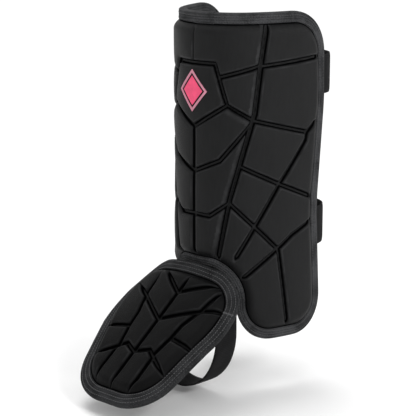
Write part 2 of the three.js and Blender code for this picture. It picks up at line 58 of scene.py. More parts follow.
Triple = tuple[float, float, float]
Pair = tuple[float, float]
Material = bpy.types.Material
Socket = bpy.types.NodeSocket
log = logging.getLogger("leg_guard")

MM = 0.001
TAPE_PITCH = 1.8
STITCH = (1.7, 0.6, 0.5)


class Slot(Enum):
    """Material slots."""

    FABRIC = "moulded_fabric"
    TAPE = "edge_tape"
    LINING = "lining"
    ELASTIC = "elastic"
    BADGE = "badge"
    BADGE_EDGE = "badge_edge"


# Paths and grids


def resampled(path: Array, pitch: float, closed: bool = False) -> Array:
    """Spread points evenly along a path.

    Args:
        path: Points, one per row.
        pitch: Distance between the new points, rounded so that they fit the length.
        closed: Whether the last point joins the first, which then isn't repeated.

    Returns:
        The new points.
    """
    if closed:
        path = np.vstack([path, path[:1]])
    steps = np.linalg.norm(np.diff(path, axis=0), axis=1)
    reach = np.concatenate([[0.0], np.cumsum(steps)])
    count = max(4, round(reach[-1] / pitch))
    at = np.linspace(0, reach[-1], count + 1)[: count if closed else count + 1]
    return np.stack([np.interp(at, reach, path[:, k]) for k in range(path.shape[1])], axis=1)


def rounded_outline(half: list[Triple], pitch: float) -> Array:
    """Closed outline, mirrored about across = 0, with an arc of its own radius at each corner.

    The arc's centre lies on the corner's bisector, at radius / sin(half the corner's angle).

    Args:
        half: Corners (across, up, radius) of the right half, from the top to the bottom.
        pitch: Distance between the points of the result.

    Returns:
        Points (across, up), anticlockwise.
    """
    mirrored = [(-a, u, r) for a, u, r in reversed(half)]
    corners = np.array(half + mirrored)
    points = []
    for before, (across, up, radius), after in zip(np.roll(corners, 1, 0), corners, np.roll(corners, -1, 0)):
        corner = np.array([across, up])
        back, ahead = before[:2] - corner, after[:2] - corner
        back, ahead = back / np.linalg.norm(back), ahead / np.linalg.norm(ahead)
        angle = math.acos(float(np.clip(back @ ahead, -1, 1))) / 2
        middle = (back + ahead) / np.linalg.norm(back + ahead)
        centre = corner + middle * radius / math.sin(angle)
        start = corner + back * radius / math.tan(angle) - centre
        end = corner + ahead * radius / math.tan(angle) - centre
        turn = math.atan2(start[0] * end[1] - start[1] * end[0], float(start @ end))
        at = np.linspace(0, turn, 24)
        points.append(
            centre + np.stack([
                start[0] * np.cos(at) - start[1] * np.sin(at),
                start[0] * np.sin(at) + start[1] * np.cos(at),
            ], axis=1)
        )
    outline = resampled(np.vstack(points), pitch, closed=True)
    return outline[::-1]


def path_frames(path: Array, closed: bool = False) -> tuple[Array, Array]:
    """Unit tangents and left normals of a flat path, from central differences.

    Args:
        path: Points, one per row.
        closed: Whether the last point joins the first.

    Returns:
        Tangents and normals, one row per point.
    """
    if closed:
        ahead = np.roll(path, -1, 0) - np.roll(path, 1, 0)
    else:
        ahead = np.gradient(path, axis=0)
    tangent = ahead / np.linalg.norm(ahead, axis=1, keepdims=True)
    return tangent, np.stack([-tangent[:, 1], tangent[:, 0]], axis=1)


def nearest(points: Array, path: Array) -> tuple[Array, Array]:
    """Distance from each point to a polyline, and the polyline's nearest point.

    Each segment's foot is its start plus the share of it, held to 0 to 1, that the point projects to.

    Args:
        points: Points to measure from.
        path: Corners of the polyline.

    Returns:
        Distances and nearest points.
    """
    best = np.full(len(points), np.inf)
    foot = np.zeros_like(points)
    for a, b in zip(path[:-1], path[1:]):
        step = b - a
        share = np.clip((points - a) @ step / max(step @ step, 1e-12), 0, 1)
        at = a + share[:, None] * step
        gap = np.linalg.norm(points - at, axis=1)
        closer = gap < best
        best = np.where(closer, gap, best)
        foot[closer] = at[closer]
    return best, foot


def inside(points: Array, outline: Array) -> Array:
    """Whether each point lies in an outline: an odd number of its edges cross the ray to the right.

    Args:
        points: Points to test.
        outline: Closed outline, its first point not repeated.

    Returns:
        True for each point inside.
    """
    odd = np.zeros(len(points), bool)
    x, y = points.T
    for (ax, ay), (bx, by) in zip(outline, np.roll(outline, -1, 0)):
        spans = (ay > y) != (by > y)
        if by != ay:
            odd ^= spans & (x < ax + (y - ay) * (bx - ax) / (by - ay))
    return odd


@dataclass
class FlatGrid:
    """Square grid cut to an outline, its rim moved onto the outline.

    Attributes:
        points: Flat points (across, up).
        quads: Faces, anticlockwise.
        inset: Each point's distance inside the outline.
    """

    points: Array
    quads: Array
    inset: Array

    @classmethod
    def cut(cls, outline: Array, pitch: float) -> "FlatGrid":
        """Lay a grid of squares over the outline and keep those whose middle is inside it.

        Args:
            outline: Outline to cut to.
            pitch: Side of a square.

        Returns:
            The grid, with its rim points moved to the outline's nearest points.
        """
        low, high = outline.min(0) - pitch, outline.max(0) + pitch
        columns, rows = (np.ceil((high - low) / pitch).astype(int) + 1)
        across = np.linspace(low[0], high[0], columns)
        up = np.linspace(low[1], high[1], rows)
        points = np.stack(np.meshgrid(across, up), axis=-1).reshape(-1, 2)
        corner = (np.arange(rows - 1)[:, None] * columns + np.arange(columns - 1)).ravel()
        quads = np.stack([corner, corner + 1, corner + columns + 1, corner + columns], axis=1)
        quads = quads[inside(points[quads].mean(1), outline)]
        used, flat = np.unique(quads, return_inverse=True)
        quads, points = flat.reshape(-1, 4), points[used]
        gap, foot = nearest(points, np.vstack([outline, outline[:1]]))
        rim = np.unique(rim_edges(quads))
        beyond = ~inside(points, outline)
        moved = np.zeros(len(points), bool)
        moved[rim] = True
        moved |= beyond
        points[moved] = foot[moved]
        return cls(points, quads, np.where(moved, 0.0, gap))


def rim_edges(quads: Array) -> Array:
    """Directed edges that only one face uses.

    Args:
        quads: Faces as rows of four point numbers.

    Returns:
        Pairs of point numbers, in the faces' direction.
    """
    edges = np.stack([quads, np.roll(quads, -1, 1)], axis=-1).reshape(-1, 2)
    size = int(quads.max()) + 1
    there, back = edges[:, 0] * size + edges[:, 1], edges[:, 1] * size + edges[:, 0]
    return edges[~np.isin(there, back)]


def sweep_quads(rows: int, columns: int, close_rows: bool, close_columns: bool) -> Array:
    """Faces of a grid of points.

    Args:
        rows: Rows of points.
        columns: Points in a row.
        close_rows: Whether the last row joins the first.
        close_columns: Whether each row's last point joins its first.

    Returns:
        Faces as rows of four point numbers.
    """
    i = np.arange(rows if close_rows else rows - 1)[:, None]
    j = np.arange(columns if close_columns else columns - 1)[None, :]
    k, m = (i + 1) % rows, (j + 1) % columns
    return np.stack([i * columns + j, i * columns + m, k * columns + m, k * columns + j], -1).reshape(-1, 4)


# Bends


@dataclass(frozen=True)
class ShinBend:
    """Bends flat points round the leg: the shin's arc first, then each wing's flatter arc.

    Attributes:
        shin_radius: Radius of the cells' tops round the shin.
        shin_half_angle: Degrees that the shin's arc reaches on each side.
        wing_radius: Radius of the wings.
    """

    shin_radius: float = 60.0
    shin_half_angle: float = 60.0
    wing_radius: float = 150.0

    @property
    def arc(self) -> float:
        """Length of the shin's arc on each side of the front."""
        return self.shin_radius * math.radians(self.shin_half_angle)

    def place(self, across: Array, up: Array, out: Array) -> Array:
        """Heading is the arc lengths over their radii; the wing's centre is moved so that the arcs join.

        Args:
            across: Distance round the leg from the front.
            up: Level.
            out: Height above the cells' tops.

        Returns:
            Points in space.
        """
        reach = np.abs(across)
        heading = np.minimum(reach, self.arc) / self.shin_radius
        heading = heading + np.maximum(reach - self.arc, 0) / self.wing_radius
        on_wing = reach > self.arc
        joint = np.where(on_wing, self.wing_radius - self.shin_radius, 0.0)
        radius = np.where(on_wing, self.wing_radius, self.shin_radius) + out
        half = math.radians(self.shin_half_angle)
        x = radius * np.sin(heading) - joint * math.sin(half)
        y = joint * math.cos(half) - radius * np.cos(heading)
        return np.stack([np.sign(across) * x, y, up + 0 * x], axis=-1)


@dataclass(frozen=True)
class InstepBend:
    """Bends flat points over the foot: straight down a slope from the hinge, and arched across.

    Attributes:
        hinge_radius: Radius of the arch at the hinge.
        slope: Degrees below level.
        length: Length of the pad.
        hinge_y: Depth of the hinge.
        hinge_z: Level of the hinge.
        arches: Rows (along, flatter): at that share of the length the radius is the hinge's times flatter,
            and its curvature changes evenly between rows.
    """

    hinge_radius: float = 104.0
    slope: float = 43.0
    length: float = 160.0
    hinge_y: float = -65.0
    hinge_z: float = -73.0
    arches: tuple[Pair, ...] = ((0, 1), (0.25, 1.6), (0.5, 2.6), (1, 4))

    def place(self, across: Array, up: Array, out: Array) -> Array:
        """Turn each point by across / radius about the arch's centre, then lay the arch on the slope.

        Args:
            across: Distance from the middle line.
            up: Minus the distance from the hinge.
            out: Height above the cells' tops.

        Returns:
            Points in space.
        """
        along = -up
        share, flatter = np.array(self.arches).T
        curvature = np.interp(along / self.length, share, 1 / flatter) / self.hinge_radius
        radius = 1 / curvature
        angle = across / radius
        height = (radius + out) * np.cos(angle) - radius
        slope = math.radians(self.slope)
        x = (radius + out) * np.sin(angle)
        y = self.hinge_y - along * math.cos(slope) - height * math.sin(slope)
        z = self.hinge_z - along * math.sin(slope) + height * math.cos(slope)
        return np.stack([x, y, z], axis=-1)


# Meshes


def mesh_object(
    name: str,
    points: Array,
    quads: Array,
    uv: Array,
    materials: list[Material],
    shares: Array | None = None,
    facts: dict[str, Array] | None = None,
) -> bpy.types.Object:
    """Write quads to a new object at the origin, smooth, with a UV map in metres.

    Args:
        name: Object name.
        points: Corner points in millimetres.
        quads: Faces as rows of four point numbers.
        uv: Flat place of each point, in millimetres.
        materials: Materials, one per material number.
        shares: Material number of each face, all 0 where it isn't given.
        facts: Values by name that the materials read, one for each point.

    Returns:
        The object.
    """
    mesh = bpy.data.meshes.new(name)
    mesh.vertices.add(len(points))
    mesh.vertices.foreach_set("co", (points * MM).astype(np.float32).ravel())
    mesh.loops.add(quads.size)
    mesh.loops.foreach_set("vertex_index", quads.astype(np.int32).ravel())
    mesh.polygons.add(len(quads))
    mesh.polygons.foreach_set("loop_start", np.arange(0, quads.size, 4, dtype=np.int32))
    mesh.polygons.foreach_set("use_smooth", np.ones(len(quads), bool))
    if shares is not None:
        mesh.polygons.foreach_set("material_index", shares.astype(np.int32))
    layer = mesh.uv_layers.new(name="flat")
    layer.data.foreach_set("uv", (uv[quads.ravel()] * MM).astype(np.float32).ravel())
    for key, values in (facts or {}).items():
        mesh.attributes.new(key, "FLOAT", "POINT").data.foreach_set("value", values.astype(np.float32))
    mesh.update(calc_edges=True)
    mesh.validate()
    thing = bpy.data.objects.new(name, mesh)
    bpy.context.scene.collection.objects.link(thing)
    for material in materials:
        mesh.materials.append(material)
    return thing


def closed_sheet(grid: FlatGrid, bend: ShinBend | InstepBend, top: Array, low: Array) -> tuple[Array, Array]:
    """Outer and inner face over one flat grid, and the rim between them.

    Args:
        grid: Flat grid of both faces.
        bend: Bend that both follow.
        top: Height of each point of the outer face.
        low: Height of each point of the inner face.

    Returns:
        Points, the outer face's first, and faces.
    """
    across, up = grid.points.T
    points = np.vstack([bend.place(across, up, top), bend.place(across, up, low)])
    rim, count = rim_edges(grid.quads), len(top)
    sides = np.stack([rim[:, 1], rim[:, 0], rim[:, 0] + count, rim[:, 1] + count], axis=1)
    return points, np.vstack([grid.quads, grid.quads[:, ::-1] + count, sides])


def ribbon(rows: Array, thickness: Array | float) -> tuple[Array, Array]:
    """Closed strap round a grid of middle points, thickness measured square to it.

    Args:
        rows: Grid of points, along by across by 3.
        thickness: One value, or one for each column.

    Returns:
        Points and faces. Each row of points goes across the outer face and back across the inner one.
    """
    along = np.gradient(rows, axis=0)
    across = np.gradient(rows, axis=1)
    normal = np.cross(along, across)
    normal /= np.linalg.norm(normal, axis=2, keepdims=True)
    half = np.broadcast_to(np.asarray(thickness) / 2, rows.shape[:2])[..., None]
    around = np.concatenate([rows + normal * half, (rows - normal * half)[:, ::-1]], axis=1)
    count, ring = around.shape[:2]
    quads = sweep_quads(count, ring, False, True)
    width = rows.shape[1]
    j = np.arange(width - 1)
    cap = np.stack([j, j + 1, ring - 2 - j, ring - 1 - j], axis=1)
    end = cap[:, ::-1] + (count - 1) * ring
    return around.reshape(-1, 3), np.vstack([quads[:, ::-1], cap, end])


def stitch_row(centre: Array, along: Array, side: Array, up: Array, size: Triple) -> tuple[Array, Array]:
    """Stitches as small six-sided grains, one at each centre.

    A grain is a ring of six points at four stations, whose radius falls to a third at both ends.

    Args:
        centre: Middle of each stitch.
        along: Unit direction of its thread.
        side: Unit direction across it.
        up: Unit direction off the fabric.
        size: Length, width and height.

    Returns:
        Points and faces.
    """
    stations = np.array([-0.5, -0.28, 0.28, 0.5])
    swell = np.array([0.35, 1.0, 1.0, 0.35])
    ring = np.arange(6) * math.pi / 3
    template = np.stack([
        np.repeat(stations, 6) * size[0],
        np.outer(swell, np.cos(ring)).ravel() * size[1] / 2,
        np.outer(swell, np.sin(ring)).ravel() * size[2] / 2,
    ], axis=1)
    axes = np.stack([along, side, up], axis=1)
    points = centre[:, None] + np.einsum("kc,ncd->nkd", template, axes)
    faces = np.vstack([
        sweep_quads(4, 6, False, True)[:, ::-1],
        [[0, 1, 2, 3], [0, 3, 4, 5], [21, 20, 19, 18], [23, 22, 21, 18]],
    ])
    quads = faces[None] + (np.arange(len(centre)) * len(template))[:, None, None]
    return points.reshape(-1, 3), quads.reshape(-1, 4)


# Finishes


class Nodes:
    """Short ways to add nodes to one material."""

    def __init__(self, name: str) -> None:
        """Start a material with a Principled shader."""
        self.material = bpy.data.materials.new(name)
        self.material.use_nodes = True
        self.tree = self.material.node_tree
        self.shader = self.tree.nodes["Principled BSDF"]

    def add(self, kind: str, inputs: dict | None = None, **settings: object) -> bpy.types.Node:
        """Add a node, set its properties, and set or link its inputs.

        Args:
            kind: Blender's name of the node's type.
            inputs: Values or sockets by input.
            settings: Properties by name.

        Returns:
            The node.
        """
        node = self.tree.nodes.new(kind)
        for key, value in settings.items():
            setattr(node, key, value)
        for key, value in (inputs or {}).items():
            self.feed(node, key, value)
        return node

    def feed(self, node: bpy.types.Node, key: int | str, value: object) -> None:
        """Link a socket to an input, or set the input to a value."""
        if isinstance(value, bpy.types.NodeSocket):
            self.tree.links.new(value, node.inputs[key])
        else:
            node.inputs[key].default_value = value

    def maths(self, operation: str, first: object, second: object = 0.0) -> Socket:
        """Result of one arithmetic step."""
        return self.add("ShaderNodeMath", {0: first, 1: second}, operation=operation).outputs[0]

    def blend(self, share: object, low: Triple, high: Triple) -> Socket:
        """Colour between low and high.

        Args:
            share: 0 for low to 1 for high.
            low: First colour.
            high: Second colour.

        Returns:
            The colour.
        """
        node = self.add("ShaderNodeMix", {0: share}, data_type="RGBA")
        node.inputs[6].default_value = (*low, 1)
        node.inputs[7].default_value = (*high, 1)
        return node.outputs[2]

    def span(
        self, value: Socket, low: float, high: float, to_low: float = 0.0, to_high: float = 1.0
    ) -> Socket:
        """Value moved from one range to another and held there."""
        inputs = {0: value, 1: low, 2: high, 3: to_low, 4: to_high}
        return self.add("ShaderNodeMapRange", inputs).outputs[0]

    def uv(self) -> tuple[Socket, Socket, Socket]:
        """Flat coordinates in metres.

        Returns:
            The place, and its parts across and along.
        """
        place = self.add("ShaderNodeUVMap", uv_map="flat").outputs[0]
        split = self.add("ShaderNodeSeparateXYZ", {0: place})
        return place, split.outputs[0], split.outputs[1]

    def noise(self, vector: Socket, scale: float, detail: float = 2.0) -> Socket:
        """Noise value at that many cells to the metre."""
        inputs = {"Vector": vector, "Scale": scale, "Detail": detail}
        return self.add("ShaderNodeTexNoise", inputs).outputs[0]

    def bump(
        self, height: Socket, depth: float, strength: float = 1.0, under: Socket | None = None
    ) -> Socket:
        """Bump normal.

        Args:
            height: Height of 0 to 1.
            depth: Metres that a height of 1 stands for.
            strength: Share of the bump that shows.
            under: Normal that the bump is added to.

        Returns:
            The normal.
        """
        inputs = {"Height": height, "Distance": depth, "Strength": strength}
        if under is not None:
            inputs["Normal"] = under
        return self.add("ShaderNodeBump", inputs).outputs[0]


@dataclass(frozen=True)
class StretchFabric:
    """Thin knitted fabric bonded over moulded foam, pressed hard into its grooves.

    Attributes:
        foot: Inset at which the cells' slope starts, in millimetres.
        name: Material name.
        crease_shade: Painted shade: colour in the sharp creases on each side of a groove's floor and along
            the foot of the edge slope, where shade falls.
        dark: Colour in the knit's hollows.
        light: Colour on its loops.
        ridge_highlight: Painted highlight: colour on the shoulders beside the grooves and on the chamfers,
            where light catches them.
        roughness: Of the shader.
        pitch: Loops to the metre.
        grain: Depth of the knit in metres.
        crease_at: Distance of the crease from the groove's line, in millimetres.
        crease_width: Half width of the crease.
        ridge_at: Distance of the shoulder from the groove's line.
        ridge_width: Half width of the shoulder.
        specular: Specular level away from the creases.
    """

    foot: float
    name: str = "stretch_fabric"
    crease_shade: Triple = (0.0006, 0.0006, 0.0007)
    dark: Triple = (0.0022, 0.0023, 0.0025)
    light: Triple = (0.0100, 0.0102, 0.0108)
    ridge_highlight: Triple = (0.030, 0.0305, 0.032)
    roughness: float = 0.52
    pitch: float = 1300.0
    grain: float = 0.00018
    crease_at: float = 2.0
    crease_width: float = 0.8
    ridge_at: float = 3.9
    ridge_width: float = 1.2
    specular: float = 0.16

    def near(self, n: Nodes, value: Socket, at: float, width: float) -> Socket:
        """1 at a distance, falling evenly to 0 one width away from it."""
        return n.span(n.maths("ABSOLUTE", n.maths("SUBTRACT", value, at)), width, 0)

    def material(self) -> Material:
        """Two crossed waves make the knit, broken up by noise. Painted shade darkens the creases beside each
        groove's floor and along the foot of the edge slope, and a painted highlight lightens the shoulders
        and chamfers.

        Returns:
            The material.
        """
        n = Nodes(self.name)
        place, across, along = n.uv()
        turn = 2 * math.pi * self.pitch
        wales = n.maths("SINE", n.maths("MULTIPLY", across, turn))
        courses = n.maths("SINE", n.maths("MULTIPLY", along, turn * 0.8))
        knit = n.span(n.maths("ADD", wales, courses), -2, 2)
        fuzz = n.noise(place, 2600, 3)
        broad = n.noise(place, 24, 3)
        drawn = n.add("ShaderNodeMapping", {"Vector": place, "Scale": (6, 1, 1)}).outputs[0]
        streaks = n.noise(drawn, 70, 2)
        groove = n.add("ShaderNodeAttribute", attribute_name="groove").outputs["Fac"]
        inset = n.add("ShaderNodeAttribute", attribute_name="inset").outputs["Fac"]
        # Painted shade: the creases beside each groove's floor, and the foot of the edge slope along the
        # tape's inner edge, are darkened to a near-black grey.
        crease_shade = self.near(n, groove, self.crease_at, self.crease_width)
        edge_foot_shade = self.near(n, inset, self.foot, 1.3)
        shaded_folds = n.maths("MAXIMUM", crease_shade, edge_foot_shade)
        # Painted highlight: the shoulders beside the grooves and the chamfers are lightened, patchily,
        # towards a paler grey.
        patchy = n.span(n.noise(place, 60, 2), 0.35, 0.65, 0.15, 1.0)
        chamfer = n.add("ShaderNodeAttribute", attribute_name="chamfer").outputs["Fac"]
        raised = n.maths("MAXIMUM", self.near(n, groove, self.ridge_at, self.ridge_width), chamfer)
        ridge_highlight = n.maths("MULTIPLY", n.maths("MULTIPLY", raised, patchy), 0.8)
        height = n.maths("ADD", knit, n.maths("MULTIPLY", fuzz, 0.9))
        tone = n.maths("ADD", n.maths("MULTIPLY", fuzz, 0.5), n.maths("MULTIPLY", broad, 0.4))
        tone = n.maths("ADD", tone, n.maths("MULTIPLY", streaks, 0.3))
        cloth = n.blend(n.span(tone, 0.35, 0.85), self.dark, self.light)
        # The painted highlight mixed over the fabric's own tone.
        chamfer_highlight = n.add("ShaderNodeMix", {0: ridge_highlight, 6: cloth}, data_type="RGBA")
        chamfer_highlight.inputs[7].default_value = (*self.ridge_highlight, 1)
        # Painted shade mixed over the fabric in those creases.
        mix = n.add("ShaderNodeMix", {0: shaded_folds, 6: chamfer_highlight.outputs[2]}, data_type="RGBA")
        mix.inputs[7].default_value = (*self.crease_shade, 1)
        n.feed(n.shader, "Base Color", mix.outputs[2])
        rough = n.span(broad, 0.2, 0.8, self.roughness - 0.06, self.roughness + 0.06)
        n.feed(n.shader, "Roughness", n.maths("MAXIMUM", rough, shaded_folds))
        # Painted shade in the reflection too: the creases lose their specular.
        n.feed(n.shader, "Specular IOR Level", n.span(shaded_folds, 0, 0.5, self.specular, 0.0))
        pressed = n.bump(n.maths("SUBTRACT", 1.0, shaded_folds), 0.0010, 0.6)
        n.feed(n.shader, "Normal", n.bump(height, self.grain, 0.7, pressed))
        return n.material


@dataclass(frozen=True)
class RibbedTape:
    """Woven tape or elastic, with ribs along its length and picks across it.

    Attributes:
        name: Material name.
        dark: Colour between the ribs.
        light: Colour on the ribs.
        ribs: Ribs to the metre, across the tape.
        picks: Threads to the metre, along the tape.
        specks: How much pale fibre shows.
        weave: How much the ribs and picks show in the colour.
        roughness: Of the shader.
        depth: Depth of the weave in metres.
    """

    name: str
    dark: Triple
    light: Triple
    ribs: float
    picks: float
    specks: float = 0.0
    weave: float = 0.45
    roughness: float = 0.85
    depth: float = 0.0003

    def material(self) -> Material:
        """Ribs and picks are sine waves whose product makes the weave's knots.

        Returns:
            The material.
        """
        n = Nodes(self.name)
        place, across, along = n.uv()
        rib = n.maths("SINE", n.maths("MULTIPLY", across, 2 * math.pi * self.ribs))
        pick = n.maths("SINE", n.maths("MULTIPLY", along, 2 * math.pi * self.picks))
        weave = n.span(n.maths("ADD", rib, n.maths("MULTIPLY", pick, n.maths("ADD", rib, 0.6))), -2.2, 2.2)
        fuzz = n.noise(place, 1500, 3)
        broad = n.noise(place, 45, 3)
        speck = n.span(n.noise(place, 900, 2), 0.52, 0.72)
        height = n.maths("ADD", weave, n.maths("MULTIPLY", fuzz, 0.5))
        flecks = n.maths("MULTIPLY", speck, self.specks)
        tone = n.maths("ADD", n.maths("MULTIPLY", weave, self.weave), flecks)
        tone = n.maths("ADD", tone, n.maths("MULTIPLY", fuzz, 0.3))
        tone = n.maths("MULTIPLY", tone, n.span(broad, 0.38, 0.62, 0.5, 1.3))
        n.feed(n.shader, "Base Color", n.blend(tone, self.dark, self.light))
        n.feed(n.shader, "Roughness", self.roughness)
        n.feed(n.shader, "Specular IOR Level", 0.12)
        n.feed(n.shader, "Normal", n.bump(height, self.depth, 0.9))
        return n.material


@dataclass(frozen=True)
class SpacerMesh:
    """Open hexagonal mesh fabric of the lining and the hinge web.

    Attributes:
        name: Material name.
        dark: Colour in the holes.
        light: Colour of the yarn.
        pitch: Holes to the metre.
    """

    name: str
    dark: Triple = (0.0035, 0.0035, 0.004)
    light: Triple = (0.017, 0.0172, 0.018)
    pitch: float = 420.0

    def material(self) -> Material:
        """Round holes from the distance to the middles of a Voronoi pattern, with a soft yarn between.

        Returns:
            The material.
        """
        n = Nodes(self.name)
        place, _, _ = n.uv()
        inputs = {"Vector": place, "Scale": self.pitch, "Randomness": 0.25}
        hole = n.add("ShaderNodeTexVoronoi", inputs, voronoi_dimensions="2D").outputs[0]
        yarn = n.span(hole, 0.22, 0.42)
        fuzz = n.noise(place, 2400, 3)
        tone = n.maths("MULTIPLY", yarn, n.maths("ADD", fuzz, 0.5))
        n.feed(n.shader, "Base Color", n.blend(tone, self.dark, self.light))
        n.feed(n.shader, "Roughness", 0.88)
        n.feed(n.shader, "Sheen Weight", 0.08)
        n.feed(n.shader, "Specular IOR Level", 0.3)
        n.feed(n.shader, "Normal", n.bump(n.maths("ADD", yarn, n.maths("MULTIPLY", fuzz, 0.3)), 0.0005, 0.8))
        return n.material


@dataclass(frozen=True)
class HeatFilm:
    """Thin film pressed hot onto the fabric, whose knit shows through a little.

    Attributes:
        name: Material name.
        colour: Colour of the film.
        roughness: Of the shader.
    """

    name: str
    colour: Triple
    roughness: float = 0.5

    def material(self) -> Material:
        """Slow noise varies the film's tone, and a fine grain the light on it.

        Returns:
            The material.
        """
        n = Nodes(self.name)
        place, _, _ = n.uv()
        broad = n.noise(place, 160, 3)
        grain = n.noise(place, 1700, 2)
        dark = tuple(0.82 * c for c in self.colour)
        n.feed(n.shader, "Base Color", n.blend(n.span(broad, 0.3, 0.7), dark, self.colour))
        n.feed(n.shader, "Roughness", n.span(grain, 0.2, 0.8, self.roughness - 0.08, self.roughness + 0.08))
        n.feed(n.shader, "Specular IOR Level", 0.3)
        n.feed(n.shader, "Normal", n.bump(grain, 0.0001, 0.7))
        return n.material


@dataclass(frozen=True)
class Thread:
    """Sewing thread.

    Attributes:
        name: Material name.
        colour: Colour of the thread.
    """

    name: str
    colour: Triple

    def material(self) -> Material:
        """Fine noise shades the twist of the thread.

        Returns:
            The material.
        """
        n = Nodes(self.name)
        place = n.add("ShaderNodeTexCoord").outputs["Object"]
        twist = n.noise(place, 1800, 2)
        dark = tuple(0.55 * c for c in self.colour)
        n.feed(n.shader, "Base Color", n.blend(twist, dark, self.colour))
        n.feed(n.shader, "Roughness", 0.6)
        n.feed(n.shader, "Normal", n.bump(twist, 0.0001, 0.6))
        return n.material


# Sub-assemblies


@dataclass(frozen=True)
class Moulding:
    """Section that both pads share: pressed edge, padded cells and grooves.

    Attributes:
        foot: Inset at which the edge slope starts.
        rise: Height of the cells over the pressed edge.
        edge_thickness: Of the pressed edge.
        bevel: Width of the edge slope.
        depth: Depth of a groove.
        floor: Width of its floor.
        width: Width between its shoulders.
        sink: How far the cells sink at a groove.
        spread: How far from the groove they still sink.
    """

    foot: float
    rise: float = 6.5
    edge_thickness: float = 3.4
    bevel: float = 9.4
    depth: float = 3.8
    floor: float = 3.4
    width: float = 8.6
    sink: float = 1.3
    spread: float = 7.0

    @property
    def edge_out(self) -> float:
        """Outer face of the pressed edge."""
        return -self.rise

    @property
    def back(self) -> float:
        """Inner face of the pad."""
        return self.edge_out - self.edge_thickness

    def height(self, inset: Array, groove: Array) -> Array:
        """Height of the outer face.

        The edge slope rises from the foot as 1 - (1 - share) ** 2.2. A groove is flat for half its floor, and
        its wall rises as (1 - share) ** 1.8, steep at the floor and round at the shoulder. Cells sink a
        little towards their grooves.

        Args:
            inset: Distance inside the outline.
            groove: Distance to the nearest groove's line.

        Returns:
            Heights over the cells' tops, 0 or less.
        """
        share = np.clip((inset - self.foot) / self.bevel, 0, 1)
        slope = self.edge_out + self.rise * (1 - (1 - share) ** 2.2)
        wall = np.clip((groove - self.floor / 2) / (self.width / 2 - self.floor / 2), 0, 1)
        cut = self.depth * (1 - wall) ** 1.8 + self.sink * np.exp(-groove / self.spread)
        return np.maximum(slope - cut, self.edge_out)


@dataclass
class Groove:
    """One groove line.

    Attributes:
        path: Flat points.
        narrower: Millimetres taken off each side of the groove, which makes it shallower too.
        taper: Length over which it narrows to a point at an end that meets no other groove.
        chamfer: Depth of a wide flat slope on the side nearer the front, or 0.
    """

    path: Array
    narrower: float = 0.0
    taper: float = 5.0
    chamfer: float = 0.0

    def slope(self, points: Array) -> Array:
        """Depth of the chamfer, which falls evenly from the groove's floor to 7.2 mm on the front's side.

        Args:
            points: Flat points.

        Returns:
            A depth for each point.
        """
        gap, foot = nearest(points, self.path)
        front = np.abs(points[:, 0]) < np.abs(foot[:, 0])
        return np.where(front, self.chamfer * np.clip(1 - (gap - 1.7) / 5.5, 0, 1), 0.0)

    def distance(self, points: Array, others: list["Groove"]) -> Array:
        """Distance to the line, plus narrower, plus up to 2.4 mm near an end that meets no other groove.

        Args:
            points: Flat points.
            others: All of the pad's grooves.

        Returns:
            A distance for each point.
        """
        gap, foot = nearest(points, self.path)
        gap = gap + self.narrower
        for end in (self.path[0], self.path[-1]):
            if all(nearest(end[None], other.path)[0][0] > 3 for other in others if other is not self):
                gap = gap + 2.4 * np.clip(1 - np.linalg.norm(foot - end, axis=1) / self.taper, 0, 1) ** 1.5
        return gap


@dataclass
class Pad:
    """A moulded pad: fabric over foam, closed, with its cells and grooves.

    Attributes:
        name: Name of the piece.
        outline: Flat outline.
        grooves: Groove lines.
        bend: Bend that it follows.
        moulding: Its section.
        pitch: Side of the grid's squares.
    """

    name: str
    outline: Array
    grooves: list[Groove]
    bend: ShinBend | InstepBend
    moulding: Moulding
    pitch: float

    def unevenness(self, points: Array) -> Array:
        """Slow waves of a fraction of a millimetre, as hand-laid foam has."""
        across, up = points.T
        waves = np.sin(across / 13 + 0.7) * np.sin(up / 17 + 1.9) + np.sin(across / 29 - up / 23)
        return 0.18 * waves

    def build(self, fabric: Material, inner: Material) -> bpy.types.Object:
        """Make the closed pad. Its height is the moulding's, less the chamfers, with the foam's waves.

        Args:
            fabric: Of the outer face.
            inner: Of the inner face and the rim.

        Returns:
            The pad.
        """
        grid = FlatGrid.cut(self.outline, self.pitch)
        groove = np.full(len(grid.points), np.inf)
        for line in self.grooves:
            groove = np.minimum(groove, line.distance(grid.points, self.grooves))
        top = self.moulding.height(grid.inset, groove)
        # Depth of the chamfers; where they are cut, the fabric also gets a painted highlight.
        chamfer_highlight = np.max([line.slope(grid.points) for line in self.grooves], axis=0)
        top = np.maximum(top - chamfer_highlight, self.moulding.edge_out)
        raised = np.clip((grid.inset - self.moulding.foot) / self.moulding.bevel, 0, 1)
        top = top + raised * self.unevenness(grid.points)
        points, quads = closed_sheet(grid, self.bend, top, np.full(len(top), self.moulding.back))
        shares = np.zeros(len(quads), int)
        shares[len(grid.quads):] = 1
        uv = np.tile(grid.points, (2, 1))
        # The groove and inset attributes place the fabric's painted shade in the creases and its painted
        # highlight on the shoulders; the chamfer attribute places the painted highlight on the chamfers.
        facts = {
            "groove": np.tile(np.minimum(groove, 40), 2),
            "inset": np.tile(grid.inset, 2),
            "chamfer": np.tile((chamfer_highlight > 0.1).astype(float) * (groove > 2.8), 2),
        }
        return mesh_object(self.name, points, quads, uv, [fabric, inner], shares, facts)


